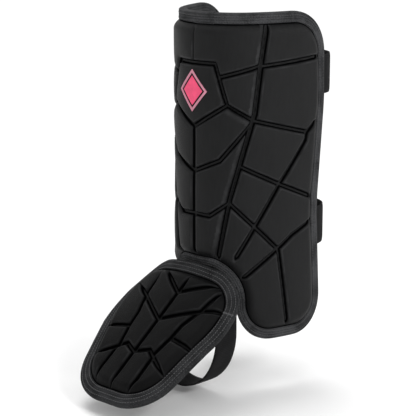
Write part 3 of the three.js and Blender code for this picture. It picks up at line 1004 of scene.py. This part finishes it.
@dataclass
class Binding:
    """Folded tape sewn round a pad's edge.

    Attributes:
        name: Name of the piece.
        outline: Outline of the edge, anticlockwise.
        bend: Bend of the pad.
        front: Outer face of the tape's front leg.
        back: Outer face of its back leg.
        width: Visible width of each leg.
        reach: How far the fold stands outside the outline.
        thickness: Of the tape.
        ribs: Ribs on the front leg.
    """

    name: str
    outline: Array
    bend: ShinBend | InstepBend
    front: float
    back: float
    width: float
    reach: float = 1.5
    thickness: float = 1.0
    ribs: int = 4

    def section(self) -> tuple[Array, Array]:
        """Outer side of the tape from its front edge round the fold to its back edge.

        The legs are straight, with ribs of a rectified sine, and the fold is a superellipse.

        Returns:
            Points (inset, out), and the place of each across the tape.
        """
        rib_height, round_off, power = 0.28, 2.6, 2 / 3
        share = np.linspace(0, 1, 8 * self.ribs + 1)
        rib = rib_height * np.abs(np.sin(share * math.pi * self.ribs)) ** 0.8
        lift = np.minimum(share / 0.06, 1)
        half = (self.front - self.back) / 2
        centre = (self.front + self.back) / 2
        inset = self.width - share * (self.width + self.reach - round_off)
        out = self.front - rib_height + rib - (1 - lift) * self.thickness
        turn = np.linspace(0, math.pi, 13)[1:-1]
        fold_inset = -self.reach + round_off * (1 - np.sin(turn) ** power)
        fold_out = centre + half * np.sign(np.cos(turn)) * np.abs(np.cos(turn)) ** power
        back_inset, back_out = inset[::-4], 2 * centre - out[::-4]
        points = np.stack([
            np.concatenate([inset, fold_inset, back_inset]),
            np.concatenate([out, fold_out, back_out]),
        ], axis=1)
        gaps = np.linalg.norm(np.diff(points, axis=0), axis=1)
        return points, np.concatenate([[0], np.cumsum(gaps)])

    @property
    def flat(self) -> Pair:
        """Width of the unrolled section and length of the outline."""
        step = np.linalg.norm(np.roll(self.outline, -1, 0) - self.outline, axis=1)
        return float(self.section()[1][-1]), float(step.sum())

    def overlap(self, tape: Material, start: Pair, count: int) -> bpy.types.Object:
        """Second layer over the first where the tape's ends lap, its section carried along the outline.

        Args:
            tape: Its finish.
            start: Flat point near which it starts.
            count: Points of the outline that it covers.

        Returns:
            The layer.
        """
        proud, clear = 0.45, 0.02
        section, place = self.section()
        _, inward = path_frames(section)
        outer, inner = section - inward * proud, section - inward * clear
        first = int(np.argmin(np.linalg.norm(self.outline - start, axis=1)))
        picked = (first - np.arange(count)) % len(self.outline)
        _, left = path_frames(self.outline, closed=True)
        ring = np.vstack([outer, inner[::-1]])
        flat = self.outline[picked][::-1, None, :] + left[picked][::-1, None, :] * ring[None, :, :1]
        points = self.bend.place(flat[..., 0], flat[..., 1], np.broadcast_to(ring[:, 1], flat.shape[:2]))
        size, half = len(ring), len(section)
        j = np.arange(half - 1)
        cap = np.stack([j, j + 1, size - 2 - j, size - 1 - j], axis=1)
        quads = np.vstack([
            sweep_quads(count, size, False, True), cap[:, ::-1], cap + (count - 1) * size,
        ])
        along = np.arange(count) * TAPE_PITCH
        uv = np.stack(np.broadcast_arrays(np.concatenate([place, place[::-1]])[None], along[:, None]), -1)
        return mesh_object(f"{self.name}_lap", points.reshape(-1, 3), quads, uv.reshape(-1, 2), [tape])

    def bar_tack(self, at: Pair, count: int) -> tuple[Array, Array]:
        """Close stitches in a bar across the front leg.

        Args:
            at: Flat point near which the bar stands.
            count: Stitches in the bar.

        Returns:
            Points and faces.
        """
        near = int(np.argmin(np.linalg.norm(self.outline - at, axis=1)))
        tangent, left = path_frames(self.outline, closed=True)
        inset = np.linspace(0.6, self.width - 0.6, count)[:, None]
        flat = self.outline[near] + left[near] * inset
        ahead = np.repeat(tangent[near][None], count, axis=0)
        return self.sewn(flat, ahead, (1.7, 0.7, 0.6))

    def sewn(self, flat: Array, ahead: Array, size: Triple) -> tuple[Array, Array]:
        """Stitches on the front leg, their directions found by bending a point a little beyond each.

        Args:
            flat: Flat points.
            ahead: Flat direction of each stitch.
            size: Length, width and height.

        Returns:
            Points and faces.
        """
        out = np.full(len(flat), self.front)
        centre = self.bend.place(flat[:, 0], flat[:, 1], out)
        beyond = flat + ahead * 0.5
        along = self.bend.place(beyond[:, 0], beyond[:, 1], out) - centre
        up = self.bend.place(flat[:, 0], flat[:, 1], out + 0.5) - centre
        along /= np.linalg.norm(along, axis=1, keepdims=True)
        up /= np.linalg.norm(up, axis=1, keepdims=True)
        return stitch_row(centre, along, np.cross(up, along), up, size)

    def build(self, tape: Material) -> bpy.types.Object:
        """Carry the section along the outline, then close it with an inner side one thickness in.

        Args:
            tape: Its finish.

        Returns:
            The tape.
        """
        section, place = self.section()
        _, inward = path_frames(section)
        inner = section + inward * self.thickness
        ring = np.vstack([section, inner[::-1]])
        _, left = path_frames(self.outline, closed=True)
        flat = self.outline[:, None, :] + left[:, None, :] * ring[None, :, :1]
        points = self.bend.place(flat[..., 0], flat[..., 1], np.broadcast_to(ring[:, 1], flat.shape[:2]))
        rows, columns = points.shape[:2]
        quads = sweep_quads(rows, columns, True, True)
        step = np.linalg.norm(np.roll(self.outline, -1, 0) - self.outline, axis=1)
        along = np.concatenate([[0], np.cumsum(step)[:-1]])
        across = np.concatenate([place, place[::-1]])
        uv = np.stack(np.broadcast_arrays(across[None, :], along[:, None]), axis=-1).reshape(-1, 2)
        return mesh_object(self.name, points.reshape(-1, 3), quads, uv, [tape])

    def stitches(self, inset: float, pitch: float, size: Triple) -> tuple[Array, Array]:
        """A row of stitches on the front leg.

        Args:
            inset: Distance inside the outline.
            pitch: Distance between stitches.
            size: Length, width and height of one.

        Returns:
            Points and faces.
        """
        path = resampled(self.outline, pitch, closed=True)
        tangent, left = path_frames(path, closed=True)
        return self.sewn(path + left * inset, tangent, size)


@dataclass
class ShinShell:
    """Moulded shell round the shin.

    Attributes:
        top: Level of the top edge.
        lobe_drop: How far the lobes reach below level 0.
        arch_rise: Height of the arch between the lobes.
        half_wrap: Half of the width round the leg.
        arch_half: Half of the arch's width, as a share of the half wrap.
        arch_corner: Radius of the arch's corners, as a share of the half wrap.
        lining_thickness: Of the lining.
        pitch: Side of the grid's squares.
    """

    top: float = 161.5
    lobe_drop: float = 152.0
    arch_rise: float = 72.5
    half_wrap: float = 149.0
    arch_half: float = 0.315
    arch_corner: float = 0.23
    lining_thickness: float = 1.5
    pitch: float = 1.3

    @property
    def height(self) -> float:
        """Top edge to the lobes' lowest point."""
        return self.top + self.lobe_drop

    def flat(self, across: float, up: float) -> Pair:
        """Shares of the half wrap and of the height as a flat point."""
        return across * self.half_wrap, up * self.height - self.lobe_drop

    def outline(self, pitch: float) -> Array:
        """Outline from corner shares: across, up and radius."""
        arch = self.arch_rise / self.height
        corners = [
            (0.985, 1, 0.28), (1, 0.734, 1.6), (0.935, 0.403, 1.6),
            (0.985, 0.006, 0.235), (self.arch_half, 0, 0.248), (self.arch_half, arch, self.arch_corner),
        ]
        return rounded_outline([(*self.flat(a, u), r * self.half_wrap) for a, u, r in corners], pitch)

    def grooves(self) -> list[Groove]:
        """Grooves of the right half, mirrored to the left. The two flank lines are the widest."""
        table = {
            "front seam above the badge": [(0, 0.968), (0, 0.855)],
            "front seam below the badge": [(0, 0.663), (0, 0.262)],
            "badge outline": [(0, 0.855), (0.161, 0.855), (0.242, 0.731), (0, 0.663)],
            "upper flank": [(0.51, 0.978), (0.47, 0.855), (0.43, 0.706), (0.362, 0.606)],
            "lower flank": [(0.362, 0.606), (0.262, 0.447), (0.18, 0.257)],
            "upper wing": [(0.2, 0.816), (0.45, 0.846), (0.92, 0.865)],
            "badge to flank": [(0.242, 0.731), (0.42, 0.685)],
            "middle wing": [(0.42, 0.685), (0.812, 0.638), (0.9, 0.673)],
            "wing to ankle": [(0.812, 0.638), (0.8, 0.613), (0.604, 0.491), (0.436, 0.364)],
            "ankle to arch": [(0.436, 0.364), (0.295, 0.258)],
            "upper shin": [(0.396, 0.67), (0.329, 0.635), (0.195, 0.564), (0, 0.526)],
            "lower shin": [(0.242, 0.43), (0.121, 0.392), (0, 0.395)],
            "lower wing": [(0.342, 0.545), (0.597, 0.488), (0.87, 0.433)],
            "ankle": [(0.255, 0.437), (0.423, 0.364), (0.591, 0.287)],
            "lobe outer": [(0.87, 0.364), (0.705, 0.326), (0.597, 0.287)],
            "lobe inner": [(0.597, 0.287), (0.477, 0.246), (0.342, 0.198)],
            "lobe down": [(0.597, 0.287), (0.658, 0.083), (0.671, 0.04)],
        }
        narrower = {"front seam above the badge": 2.1, "upper flank": 0.0, "lower flank": 0.0}
        right = []
        for name, points in table.items():
            path = np.array([self.flat(*p) for p in points])
            right.append(Groove(path, narrower.get(name, 0.5), chamfer=1.8 if "flank" in name else 0.0))
        left = [replace(line, path=line.path * (-1, 1)) for line in right if line.path[:, 0].any()]
        return right + left


@dataclass
class InstepFlap:
    """Moulded pad over the foot.

    Attributes:
        length: From the hinge to the toe.
        half_width: Half of the outline's width before its corners are rounded.
        tape_reach: How far the tape's fold stands outside the outline.
        lean: Degrees that the pattern's centre line leans.
        crossing: Share of the length at which that line crosses the middle.
        pitch: Side of the grid's squares.
    """

    length: float = 160.0
    half_width: float = 74.0
    tape_reach: float = 1.9
    lean: float = 5.7
    crossing: float = 0.8
    pitch: float = 1.1

    def outline(self, pitch: float) -> Array:
        """Outline from corner shares: across, along and radius."""
        corners = [(0.97, 0, 0.55), (1.01, 0.37, 1.4), (0.66, 0.985, 0.65)]
        scaled = [(a * self.half_width, -u * self.length, r * self.half_width) for a, u, r in corners]
        return rounded_outline(scaled, pitch)

    def groove_point(self, across: float, along: float, side: int) -> Pair:
        """Flat point of a share pair, shifted because the pattern's centre line leans."""
        shift = (self.crossing - along) * self.length * math.tan(math.radians(self.lean))
        return side * across * self.half_width + shift, -along * self.length

    def grooves(self) -> list[Groove]:
        """Grooves on both sides of the leaning centre line."""
        table = {
            "centre": [(0, 0.08), (0, 0.92)],
            "hinge chevron": [(0, 0.222), (0.486, 0.08)],
            "middle chevron": [(0, 0.42), (0.466, 0.293), (0.838, 0.204)],
            "upper side": [(0.54, 0.105), (0.486, 0.284), (0.392, 0.407)],
            "lower side": [(0.392, 0.407), (0.372, 0.506), (0.311, 0.642)],
            "side branch": [(0.372, 0.506), (0.865, 0.537)],
            "toe zigzag": [(0, 0.66), (0.203, 0.617), (0.324, 0.654), (0.649, 0.741)],
            "toe side": [(0.324, 0.654), (0.338, 0.809), (0.297, 0.907)],
        }
        lines = []
        for name, points in table.items():
            for side in (1,) if name == "centre" else (1, -1):
                path = np.array([self.groove_point(*p, side) for p in points])
                lines.append(Groove(path, narrower=0.5, taper=18.0))
        return lines


@dataclass
class Badge:
    """Diamond film badge on the front cell: a core inside a border, with bare fabric between them.

    Attributes:
        level: Of its middle.
        half_width: Half of its width.
        half_height: Half of its height.
        border: Width of the border.
        inline: Width of the bare fabric.
        low: Height of the film's rim over the cell.
        high: Height of its face.
        steps: Points on each side of a diamond.
    """

    level: float = 90.0
    half_width: float = 17.0
    half_height: float = 20.0
    border: float = 2.2
    inline: float = 1.6
    low: float = 0.2
    high: float = 0.8
    steps: int = 40

    def diamond(self, inset: float) -> Array:
        """Outline inside the outer one, whose corners move in by inset / cos or sin of the sides' slope.

        Args:
            inset: Distance between the outlines' sides.

        Returns:
            Points, anticlockwise.
        """
        slant = math.hypot(self.half_width, self.half_height)
        x = self.half_width - inset * slant / self.half_height
        y = self.half_height - inset * slant / self.half_width
        corners = np.array([[x, 0], [0, y], [-x, 0], [0, -y]])
        share = np.linspace(0, 1, self.steps, endpoint=False)[:, None]
        sides = [a + share * (b - a) for a, b in zip(corners, np.roll(corners, -1, 0))]
        return np.vstack(sides) + (0, self.level)

    def core(self, bend: ShinBend, film: Material) -> bpy.types.Object:
        """Closed plate, whose height rises from the rim as the square root of the inset.

        Args:
            bend: Bend of the shell.
            film: Its finish.

        Returns:
            The plate.
        """
        grid = FlatGrid.cut(self.diamond(self.border + self.inline), 0.6)
        top = self.low + (self.high - self.low) * np.minimum(grid.inset / 0.5, 1) ** 0.5
        points, quads = closed_sheet(grid, bend, top, np.full(len(top), self.low - 0.3))
        return mesh_object("badge_film", points, quads, np.tile(grid.points, (2, 1)), [film])

    def edge(self, bend: ShinBend, film: Material) -> bpy.types.Object:
        """Closed frame whose section, a low plateau with sloped shoulders, is carried round the diamond.

        Args:
            bend: Bend of the shell.
            film: Its finish.

        Returns:
            The frame.
        """
        low, high = self.low, self.high
        section = [(0, low - 0.3), (0, low), (0.25, high), (self.border - 0.25, high),
                   (self.border, low), (self.border, low - 0.3)]
        count = 4 * self.steps
        rings = [np.column_stack([self.diamond(inset), np.full(count, out)]) for inset, out in section]
        flat = np.stack(rings, axis=1)
        points = bend.place(flat[..., 0], flat[..., 1], flat[..., 2]).reshape(-1, 3)
        quads = sweep_quads(len(flat), len(section), True, True)[:, ::-1]
        return mesh_object("badge_film_border", points, quads, flat[..., :2].reshape(-1, 2), [film])


@dataclass
class Lining:
    """Knitted lining laminated inside the shell.

    Attributes:
        outline: Outline of the shell.
        bend: Bend of the shell.
        top: Face against the foam.
        thickness: Of the lining.
        pitch: Side of the grid's squares.
    """

    outline: Array
    bend: ShinBend
    top: float
    thickness: float = 1.5
    pitch: float = 2.6

    @property
    def flat(self) -> Pair:
        """Width and height of the flat outline."""
        span = self.outline.max(0) - self.outline.min(0)
        return float(span[0]), float(span[1])

    @property
    def area(self) -> float:
        """Flat area: half the cross product of each face's diagonals, added up."""
        grid = FlatGrid.cut(self.outline, self.pitch)
        corner = grid.points[grid.quads]
        step, rise = corner[:, 2] - corner[:, 0], corner[:, 3] - corner[:, 1]
        return float(np.abs(step[:, 0] * rise[:, 1] - step[:, 1] * rise[:, 0]).sum() / 2)

    def build(self, knit: Material) -> bpy.types.Object:
        """Closed sheet whose inner face waves by a product of sines, as a laminated knit does.

        Args:
            knit: Its finish.

        Returns:
            The lining.
        """
        grid = FlatGrid.cut(self.outline, self.pitch)
        across, up = grid.points.T
        wave = 0.22 * np.sin(across / 9) * np.sin(up / 12) * np.minimum(grid.inset / 8, 1)
        low = self.top - self.thickness + wave
        points, quads = closed_sheet(grid, self.bend, np.full(len(up), self.top), low)
        return mesh_object("shin_lining_knit", points, quads, np.tile(grid.points, (2, 1)), [knit])


@dataclass
class Strap:
    """Woven strap along a path of middle lines.

    Attributes:
        name: Name of the piece.
        rows: Grid of middle points, along by across by 3.
        thickness: Of the strap.
    """

    name: str
    rows: Array
    thickness: float = 1.8

    @property
    def flat(self) -> Pair:
        """Width and length, as medians over the strap's rows and columns."""
        width = np.median(np.linalg.norm(np.diff(self.rows, axis=1), axis=2).sum(1))
        length = np.median(np.linalg.norm(np.diff(self.rows, axis=0), axis=2).sum(0))
        return float(width), float(length)

    def build(self, elastic: Material) -> bpy.types.Object:
        """Close the strap round its middle points. Its thickness falls as the tenth power towards its edges.

        Args:
            elastic: Its finish.

        Returns:
            The strap.
        """
        columns = self.rows.shape[1]
        share = np.linspace(-1, 1, columns)
        points, quads = ribbon(self.rows, self.thickness * (1 - 0.55 * np.abs(share) ** 10))
        step = np.linalg.norm(np.diff(self.rows.mean(1), axis=0), axis=1)
        along = np.concatenate([[0], np.cumsum(step)])
        across = np.concatenate([(share + 1) / 2, (share[::-1] + 1) / 2]) * self.flat[0]
        uv = np.stack(np.broadcast_arrays(across[None, :], along[:, None]), axis=-1).reshape(-1, 2)
        return mesh_object(self.name, points, quads, uv, [elastic])

    def seams(self, rows: tuple[int, ...], pitch: float = 2.6) -> tuple[Array, Array]:
        """Stitches across the strap's outer face.

        Args:
            rows: Rows to sew, counted from each of the strap's ends.
            pitch: Distance between stitches.

        Returns:
            Points and faces.
        """
        along = np.gradient(self.rows, axis=0)
        across = np.gradient(self.rows, axis=1)
        normal = np.cross(along, across)
        normal /= np.linalg.norm(normal, axis=2, keepdims=True)
        picked = [k for row in rows for k in (row, len(self.rows) - 1 - row)]
        centre = np.vstack([resampled((self.rows + normal * self.thickness / 2)[k], pitch) for k in picked])
        middle, count = self.rows.shape[1] // 2, len(centre) // len(picked)
        up = np.vstack([np.repeat(normal[k, middle][None], count, 0) for k in picked])
        ahead = np.repeat([[0.0, 0.0, 1.0]], len(centre), axis=0)
        return stitch_row(centre, ahead, np.cross(up, ahead), up, STITCH)


# Stage


@dataclass(frozen=True)
class Studio:
    """Pale floor, soft light and the camera, in metres and degrees.

    Attributes:
        azimuth: Heading of the camera, from the front towards the guard's left.
        pitch: Its angle above level.
        distance: From the target to the camera.
        target: Point in the middle of the frame.
        lens: Focal length in millimetres.
        floor_level: Level of the floor, just under the lowest strap.
        floor_reach: Half of the floor's side.
        floor_grey: Grey of the floor.
    """

    azimuth: float = 44.0
    pitch: float = 13.0
    distance: float = 1.5
    target: Triple = (-0.0194, -0.0188, -0.033)
    lens: float = 132.4
    floor_level: float = -0.203
    floor_reach: float = 9.0
    floor_grey: float = 0.93

    def camera(self) -> None:
        """Point the camera at the target from the given heading."""
        a, p = math.radians(self.azimuth), math.radians(self.pitch)
        back = np.array([math.sin(a) * math.cos(p), -math.cos(a) * math.cos(p), math.sin(p)])
        data = bpy.data.cameras.new("camera")
        data.lens = self.lens
        data.sensor_width = 36
        view = bpy.data.objects.new("camera", data)
        view.location = np.array(self.target) + back * self.distance
        view.rotation_euler = (math.pi / 2 - p, 0, a)
        bpy.context.scene.collection.objects.link(view)
        bpy.context.scene.camera = view

    def floor(self) -> None:
        """Wide pale plane under the lowest strap."""
        corners = np.array([[-1, -1], [1, -1], [1, 1], [-1, 1]]) * self.floor_reach / MM
        points = np.column_stack([corners, np.full(4, self.floor_level / MM)])
        n = Nodes("floor")
        n.feed(n.shader, "Base Color", (*[self.floor_grey] * 3, 1))
        n.feed(n.shader, "Roughness", 0.9)
        n.feed(n.shader, "Specular IOR Level", 0.1)
        plane = mesh_object("floor", points, np.array([[0, 1, 2, 3]]), corners, [n.material])

    def light(self, name: str, azimuth: float, height: float, size: float, power: float) -> None:
        """Square soft box that faces the guard.

        Args:
            name: Its name.
            azimuth: Its heading.
            height: Its angle above level.
            size: Its side.
            power: Its power in watts.
        """
        far = 1.6
        a, h = math.radians(azimuth), math.radians(height)
        back = np.array([math.sin(a) * math.cos(h), -math.cos(a) * math.cos(h), math.sin(h)])
        data = bpy.data.lights.new(name, "AREA")
        data.size = size
        data.energy = power
        box = bpy.data.objects.new(name, data)
        box.location = back * far
        box.rotation_euler = (math.pi / 2 - h, 0, a)
        bpy.context.scene.collection.objects.link(box)

    def world(self, strength: float) -> None:
        """Even white surroundings."""
        scene = bpy.context.scene
        scene.world = bpy.data.worlds.new("studio")
        scene.world.use_nodes = True
        ground = scene.world.node_tree.nodes["Background"]
        ground.inputs[0].default_value = (1, 1, 1, 1)
        ground.inputs[1].default_value = strength
        scene.view_settings.view_transform = "Standard"

    def sun(self, azimuth: float, height: float, spread: float, strength: float) -> None:
        """Wide soft light from far away, which lights the floor evenly.

        Args:
            azimuth: Its heading.
            height: Its angle above level.
            spread: Angle that it fills.
            strength: Its strength.
        """
        data = bpy.data.lights.new("sky_panel", "SUN")
        data.angle = math.radians(spread)
        data.energy = strength
        lamp = bpy.data.objects.new("sky_panel", data)
        lamp.rotation_euler = (math.pi / 2 - math.radians(height), 0, math.radians(azimuth))
        bpy.context.scene.collection.objects.link(lamp)

    def build(self) -> None:
        """Set the whole stage."""
        self.camera()
        self.floor()
        self.world(0.72)
        self.sun(-115, 72, 35, 1.35)
        self.light("key", 74, 30, 0.3, 6)
        self.light("rim", 118, 24, 0.3, 4)


def calf_rows(level: float, edge: float, width: float = 38.0) -> Array:
    """Middle points of a calf strap: a lap inside each wing, then a loop behind the calf.

    The loop is a superellipse, so it runs straight back from the wings and turns in a soft corner.

    Args:
        level: Lower edge of the strap.
        edge: Distance from the front, along the wing, at which it leaves the lining.
        width: Of the strap.

    Returns:
        Grid of points, along by across by 3.
    """
    bend = ShinBend()
    out, lap, depth, power = -14.4, 26.0, 48.0, 3.0
    across = np.linspace(edge - lap, edge, 18)[:-1]
    start = bend.place(across, np.zeros_like(across), np.full_like(across, out))[:, :2]
    end = bend.place(np.array([edge]), np.zeros(1), np.array([out]))[0, :2]
    turn = np.linspace(0, math.pi / 2, 60)
    reach = (np.cos(turn) ** power + np.sin(turn) ** power) ** (-1 / power)
    loop = np.stack([end[0] * reach * np.cos(turn), end[1] + depth * reach * np.sin(turn)], axis=1)
    half = np.vstack([start, loop])
    plan = resampled(np.vstack([half, half[-2::-1] * (-1, 1)]), 2.0)
    rise = level + np.linspace(0, width, 15)
    rows = np.zeros((len(plan), len(rise), 3))
    rows[..., :2] = plan[:, None, :]
    rows[..., 2] = rise
    return rows


def web_rows(shell: ShinShell, half_width: float = 36.0) -> Array:
    """Middle points of the hinge web: inside the shell's arch, past its edge and under the instep pad.

    Args:
        shell: Gives the arch's level and its corner, whose radius lowers the edge beyond the flat part.
        half_width: Of the web.

    Returns:
        Grid of points, along by across by 3, worked out between five stations and then smoothed.
    """
    radius, lap, reach = shell.arch_corner * shell.half_wrap, 12.0, 3.9
    rows, columns = 33, 37
    across = np.linspace(-half_width, half_width, columns)
    beyond = np.maximum(np.abs(across) - (shell.arch_half * shell.half_wrap - radius), 0)
    edge = shell.arch_rise - shell.lobe_drop - radius + np.sqrt(radius**2 - beyond**2)
    shin, foot = ShinBend(), InstepBend()
    depth = np.full(columns, -14.1)
    stations = [shin.place(across, edge + rise, depth) for rise in (lap, 0.0, -reach)]
    stations += [foot.place(across, np.full(columns, -lap * laps), depth + 1) for laps in (0.5, 1.5)]
    at, known = np.linspace(0, len(stations) - 1, rows), np.arange(len(stations))
    values = np.stack(stations).reshape(len(stations), -1).T
    spread = np.stack([np.interp(at, known, value) for value in values], axis=1)
    for _ in range(3):
        spread[1:-1] = (spread[:-2] + 2 * spread[1:-1] + spread[2:]) / 4
    return spread.reshape(rows, columns, 3)


def stirrup_rows() -> Array:
    """Middle points of the stirrup: straight down from the instep pad, then half an ellipse under the foot.

    Returns:
        Grid of points, along by across by 3.
    """
    span, bend, drop, width, front = 50.0, 58.0, 195.0, 28.0, -80.0
    foot = InstepBend()
    level = bend - drop
    y = front + np.linspace(0, width, 13)
    along = np.linspace(-12, 40, 60)
    under = foot.place(np.full(60, span + 2.0), -along, np.full(60, -12.6))
    top = np.interp(y, under[::-1, 1], under[::-1, 2])
    top = np.minimum(top, foot.place(np.array([span]), np.zeros(1), np.array([-9.9]))[0, 2])
    turn = np.linspace(-math.pi / 2, math.pi / 2, 61)
    curve = np.stack([span * np.sin(turn), level - bend * np.cos(turn)], axis=1)
    share = np.linspace(1, 0, 13)[:-1]
    rows = np.zeros((len(curve) + 2 * len(share), len(y), 3))
    rows[..., 1] = y
    n = len(share)
    rows[:n, :, 0], rows[-n:, :, 0] = -span, span
    rows[:n, :, 2] = level + share[:, None] * (top - level)
    rows[-n:, :, 2] = level + share[::-1, None] * (top - level)
    rows[n:-n, :, 0] = curve[:, :1]
    rows[n:-n, :, 2] = curve[:, 1:]
    return rows


def dress(piece: bpy.types.Object, node: str | None = None) -> None:
    """Give a piece its body, hide the CAD node that it stands for, and report it.

    Args:
        piece: The piece.
        node: CAD node that it replaces, if it replaces one.
    """
    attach(piece, "root")
    if node:
        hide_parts(node)
    log.info("%s: %d faces", piece.name, len(piece.data.polygons))


def metres(sizes: Pair) -> Pair:
    """Millimetres as metres."""
    return tuple(size * MM for size in sizes)


@dataclass
class LegGuard:
    """The whole guard, one method for each of its sub-assemblies.

    Attributes:
        shell: Sizes of the shell round the shin.
        flap: Sizes of the pad over the foot.
        shin_bend: Bend of the shell and what lies on it.
        instep_bend: Bend of the instep pad and its tape.
        shin_moulding: Section of the shell.
        instep_moulding: Section of the instep pad.
        tack: Place of the instep tape's right bar of stitches, across and up.
    """

    shell: ShinShell = field(default_factory=ShinShell)
    flap: InstepFlap = field(default_factory=InstepFlap)
    shin_bend: ShinBend = ShinBend()
    instep_bend: InstepBend = InstepBend()
    shin_moulding: Moulding = Moulding(foot=9.0)
    instep_moulding: Moulding = Moulding(foot=11.0)
    tack: Pair = (74.0, -35.0)

    @property
    def foam_back(self) -> float:
        """Face of the shell's foam that the lining lies against."""
        return self.shin_moulding.back - 0.3

    def pads(self) -> None:
        """Make the two moulded pads."""
        shell, flap = self.shell, self.flap
        back = SpacerMesh("spacer_mesh").material()
        shin_fabric = StretchFabric(foot=self.shin_moulding.foot, name="shin_fabric")
        # A darker copy of the shin's fabric, with a dimmer painted highlight and less specular: painted shade
        # that keeps the upward-facing instep pad as dark as the shell.
        shaded_instep_fabric = StretchFabric(
            foot=self.instep_moulding.foot, name="shaded_instep_fabric", dark=(0.0010, 0.0010, 0.0011),
            light=(0.0040, 0.0041, 0.0044), ridge_highlight=(0.020, 0.0204, 0.0215), specular=0.08,
        )
        shin = Pad(
            "shin_cells", shell.outline(2.0), shell.grooves(), self.shin_bend, self.shin_moulding, shell.pitch
        )
        instep = Pad(
            "instep_cells", flap.outline(2.0), flap.grooves(), self.instep_bend, self.instep_moulding,
            flap.pitch,
        )
        for pad, node, fabric in ((shin, "shin_pad", shin_fabric), (instep, "instep_pad", shaded_instep_fabric)):
            piece = pad.build(fabric.material(), back)
            dress(piece, node)

    def sew(self, edge: Binding, pad: str, tape: Material, thread: Material, rows: list) -> None:
        """Make one tape with its stitching.

        Args:
            edge: The tape.
            pad: CAD node of the pad that it binds; the tape's own node ends in binding instead.
            tape: Its finish.
            thread: Finish of its stitches.
            rows: Points and faces of each row of stitches.
        """
        piece = edge.build(tape)
        dress(piece, pad.replace("pad", "binding"))
        metres(edge.flat)
        for k, (points, quads) in enumerate(rows):
            row = mesh_object(f"{edge.name}_stitches_{k + 1}", points, quads, points[:, :2], [thread])
            dress(row)

    def bindings(self, thread: Material) -> None:
        """Make both tapes, and the lap where the ends of the shell's tape meet.

        Args:
            thread: Finish of the shell tape's stitches.
        """
        tape = RibbedTape(
            "shin_edge_tape", (0.0012, 0.0012, 0.0014), (0.062, 0.063, 0.066), 380, 600, specks=1.1,
            weave=0.85,
        ).material()
        instep_tape = RibbedTape(
            "instep_edge_tape", (0.0012, 0.0012, 0.0014), (0.040, 0.041, 0.043), 700, 900, specks=1.3
        ).material()
        pale_thread = Thread("grey_thread", (0.11, 0.11, 0.115)).material()
        moulding, flap_moulding = self.shin_moulding, self.instep_moulding
        shin_edge = Binding(
            "shin_tape", self.shell.outline(TAPE_PITCH), self.shin_bend, front=moulding.edge_out + 1.5,
            back=self.foam_back - self.shell.lining_thickness - 1.5, width=9.0,
        )
        rows = [shin_edge.stitches(inset, 2.9, STITCH) for inset in (2.2, 7.4)]
        self.sew(shin_edge, "shin_pad", tape, thread, rows)
        instep_edge = Binding(
            "instep_tape", self.flap.outline(TAPE_PITCH), self.instep_bend,
            front=flap_moulding.edge_out + 1.9, back=flap_moulding.back - 1.9, width=11.0,
            reach=self.flap.tape_reach,
        )
        rows = [instep_edge.stitches(inset, 2.9, STITCH) for inset in (1.2, 5.2, 9.4)]
        rows += [instep_edge.bar_tack((side * self.tack[0], self.tack[1]), 12) for side in (-1, 1)]
        self.sew(instep_edge, "instep_pad", instep_tape, pale_thread, rows)
        dress(shin_edge.overlap(tape, (0.0, self.shell.top), 13))

    def linings(self) -> None:
        """Make the shell's lining and the web of its hinge."""
        lining = Lining(self.shell.outline(2.0), self.shin_bend, self.foam_back, self.shell.lining_thickness)
        piece = lining.build(SpacerMesh("lining_knit", pitch=520.0).material())
        dress(piece, "shin_lining")
        area = lining.area * MM * MM
        metres(lining.flat)

        web = Strap("hinge_web_knit", web_rows(self.shell), thickness=1.2)
        piece = web.build(SpacerMesh("web_knit", pitch=520.0).material())
        dress(piece, "hinge_web")
        metres(web.flat)

    def badge(self) -> None:
        """Make the film badge on the front cell."""
        badge = Badge()
        core_film = HeatFilm("pink_film", (0.9, 0.085, 0.2)).material()
        edge_film = HeatFilm("pale_pink_film", (0.62, 0.25, 0.33)).material()
        dress(badge.core(self.shin_bend, core_film), "badge_core")
        dress(badge.edge(self.shin_bend, edge_film), "badge_border")

    def straps(self, thread: Material) -> None:
        """Make the three elastic straps; the calf straps have seams where they leave the wings.

        Args:
            thread: Finish of the seams.
        """
        elastic = RibbedTape("elastic", (0.0022, 0.0022, 0.0025), (0.016, 0.016, 0.017), 600, 520).material()
        for strap, node, seams in (
            (Strap("calf_elastic_upper", calf_rows(79.5, 142.0)), "calf_strap_upper", (14, 16)),
            (Strap("calf_elastic_lower", calf_rows(-69.5, 134.2)), "calf_strap_lower", (14, 16)),
            (Strap("stirrup_elastic", stirrup_rows()), "stirrup_strap", ()),
        ):
            piece = strap.build(elastic)
            dress(piece, node)
            metres(strap.flat)
            if seams:
                points, quads = strap.seams(seams)
                row = mesh_object(f"{strap.name}_stitches", points, quads, points[:, :2], [thread])
                dress(row)


def main() -> None:
    """Load the frame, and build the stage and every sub-assembly in order."""
    logging.basicConfig(level=logging.INFO, format="%(message)s")
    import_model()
    Studio().build()
    thread = Thread("dark_thread", (0.065, 0.065, 0.068)).material()
    guard = LegGuard()
    guard.pads()
    guard.bindings(thread)
    guard.linings()
    guard.badge()
    guard.straps(thread)


if __name__ == "__main__":
    main()
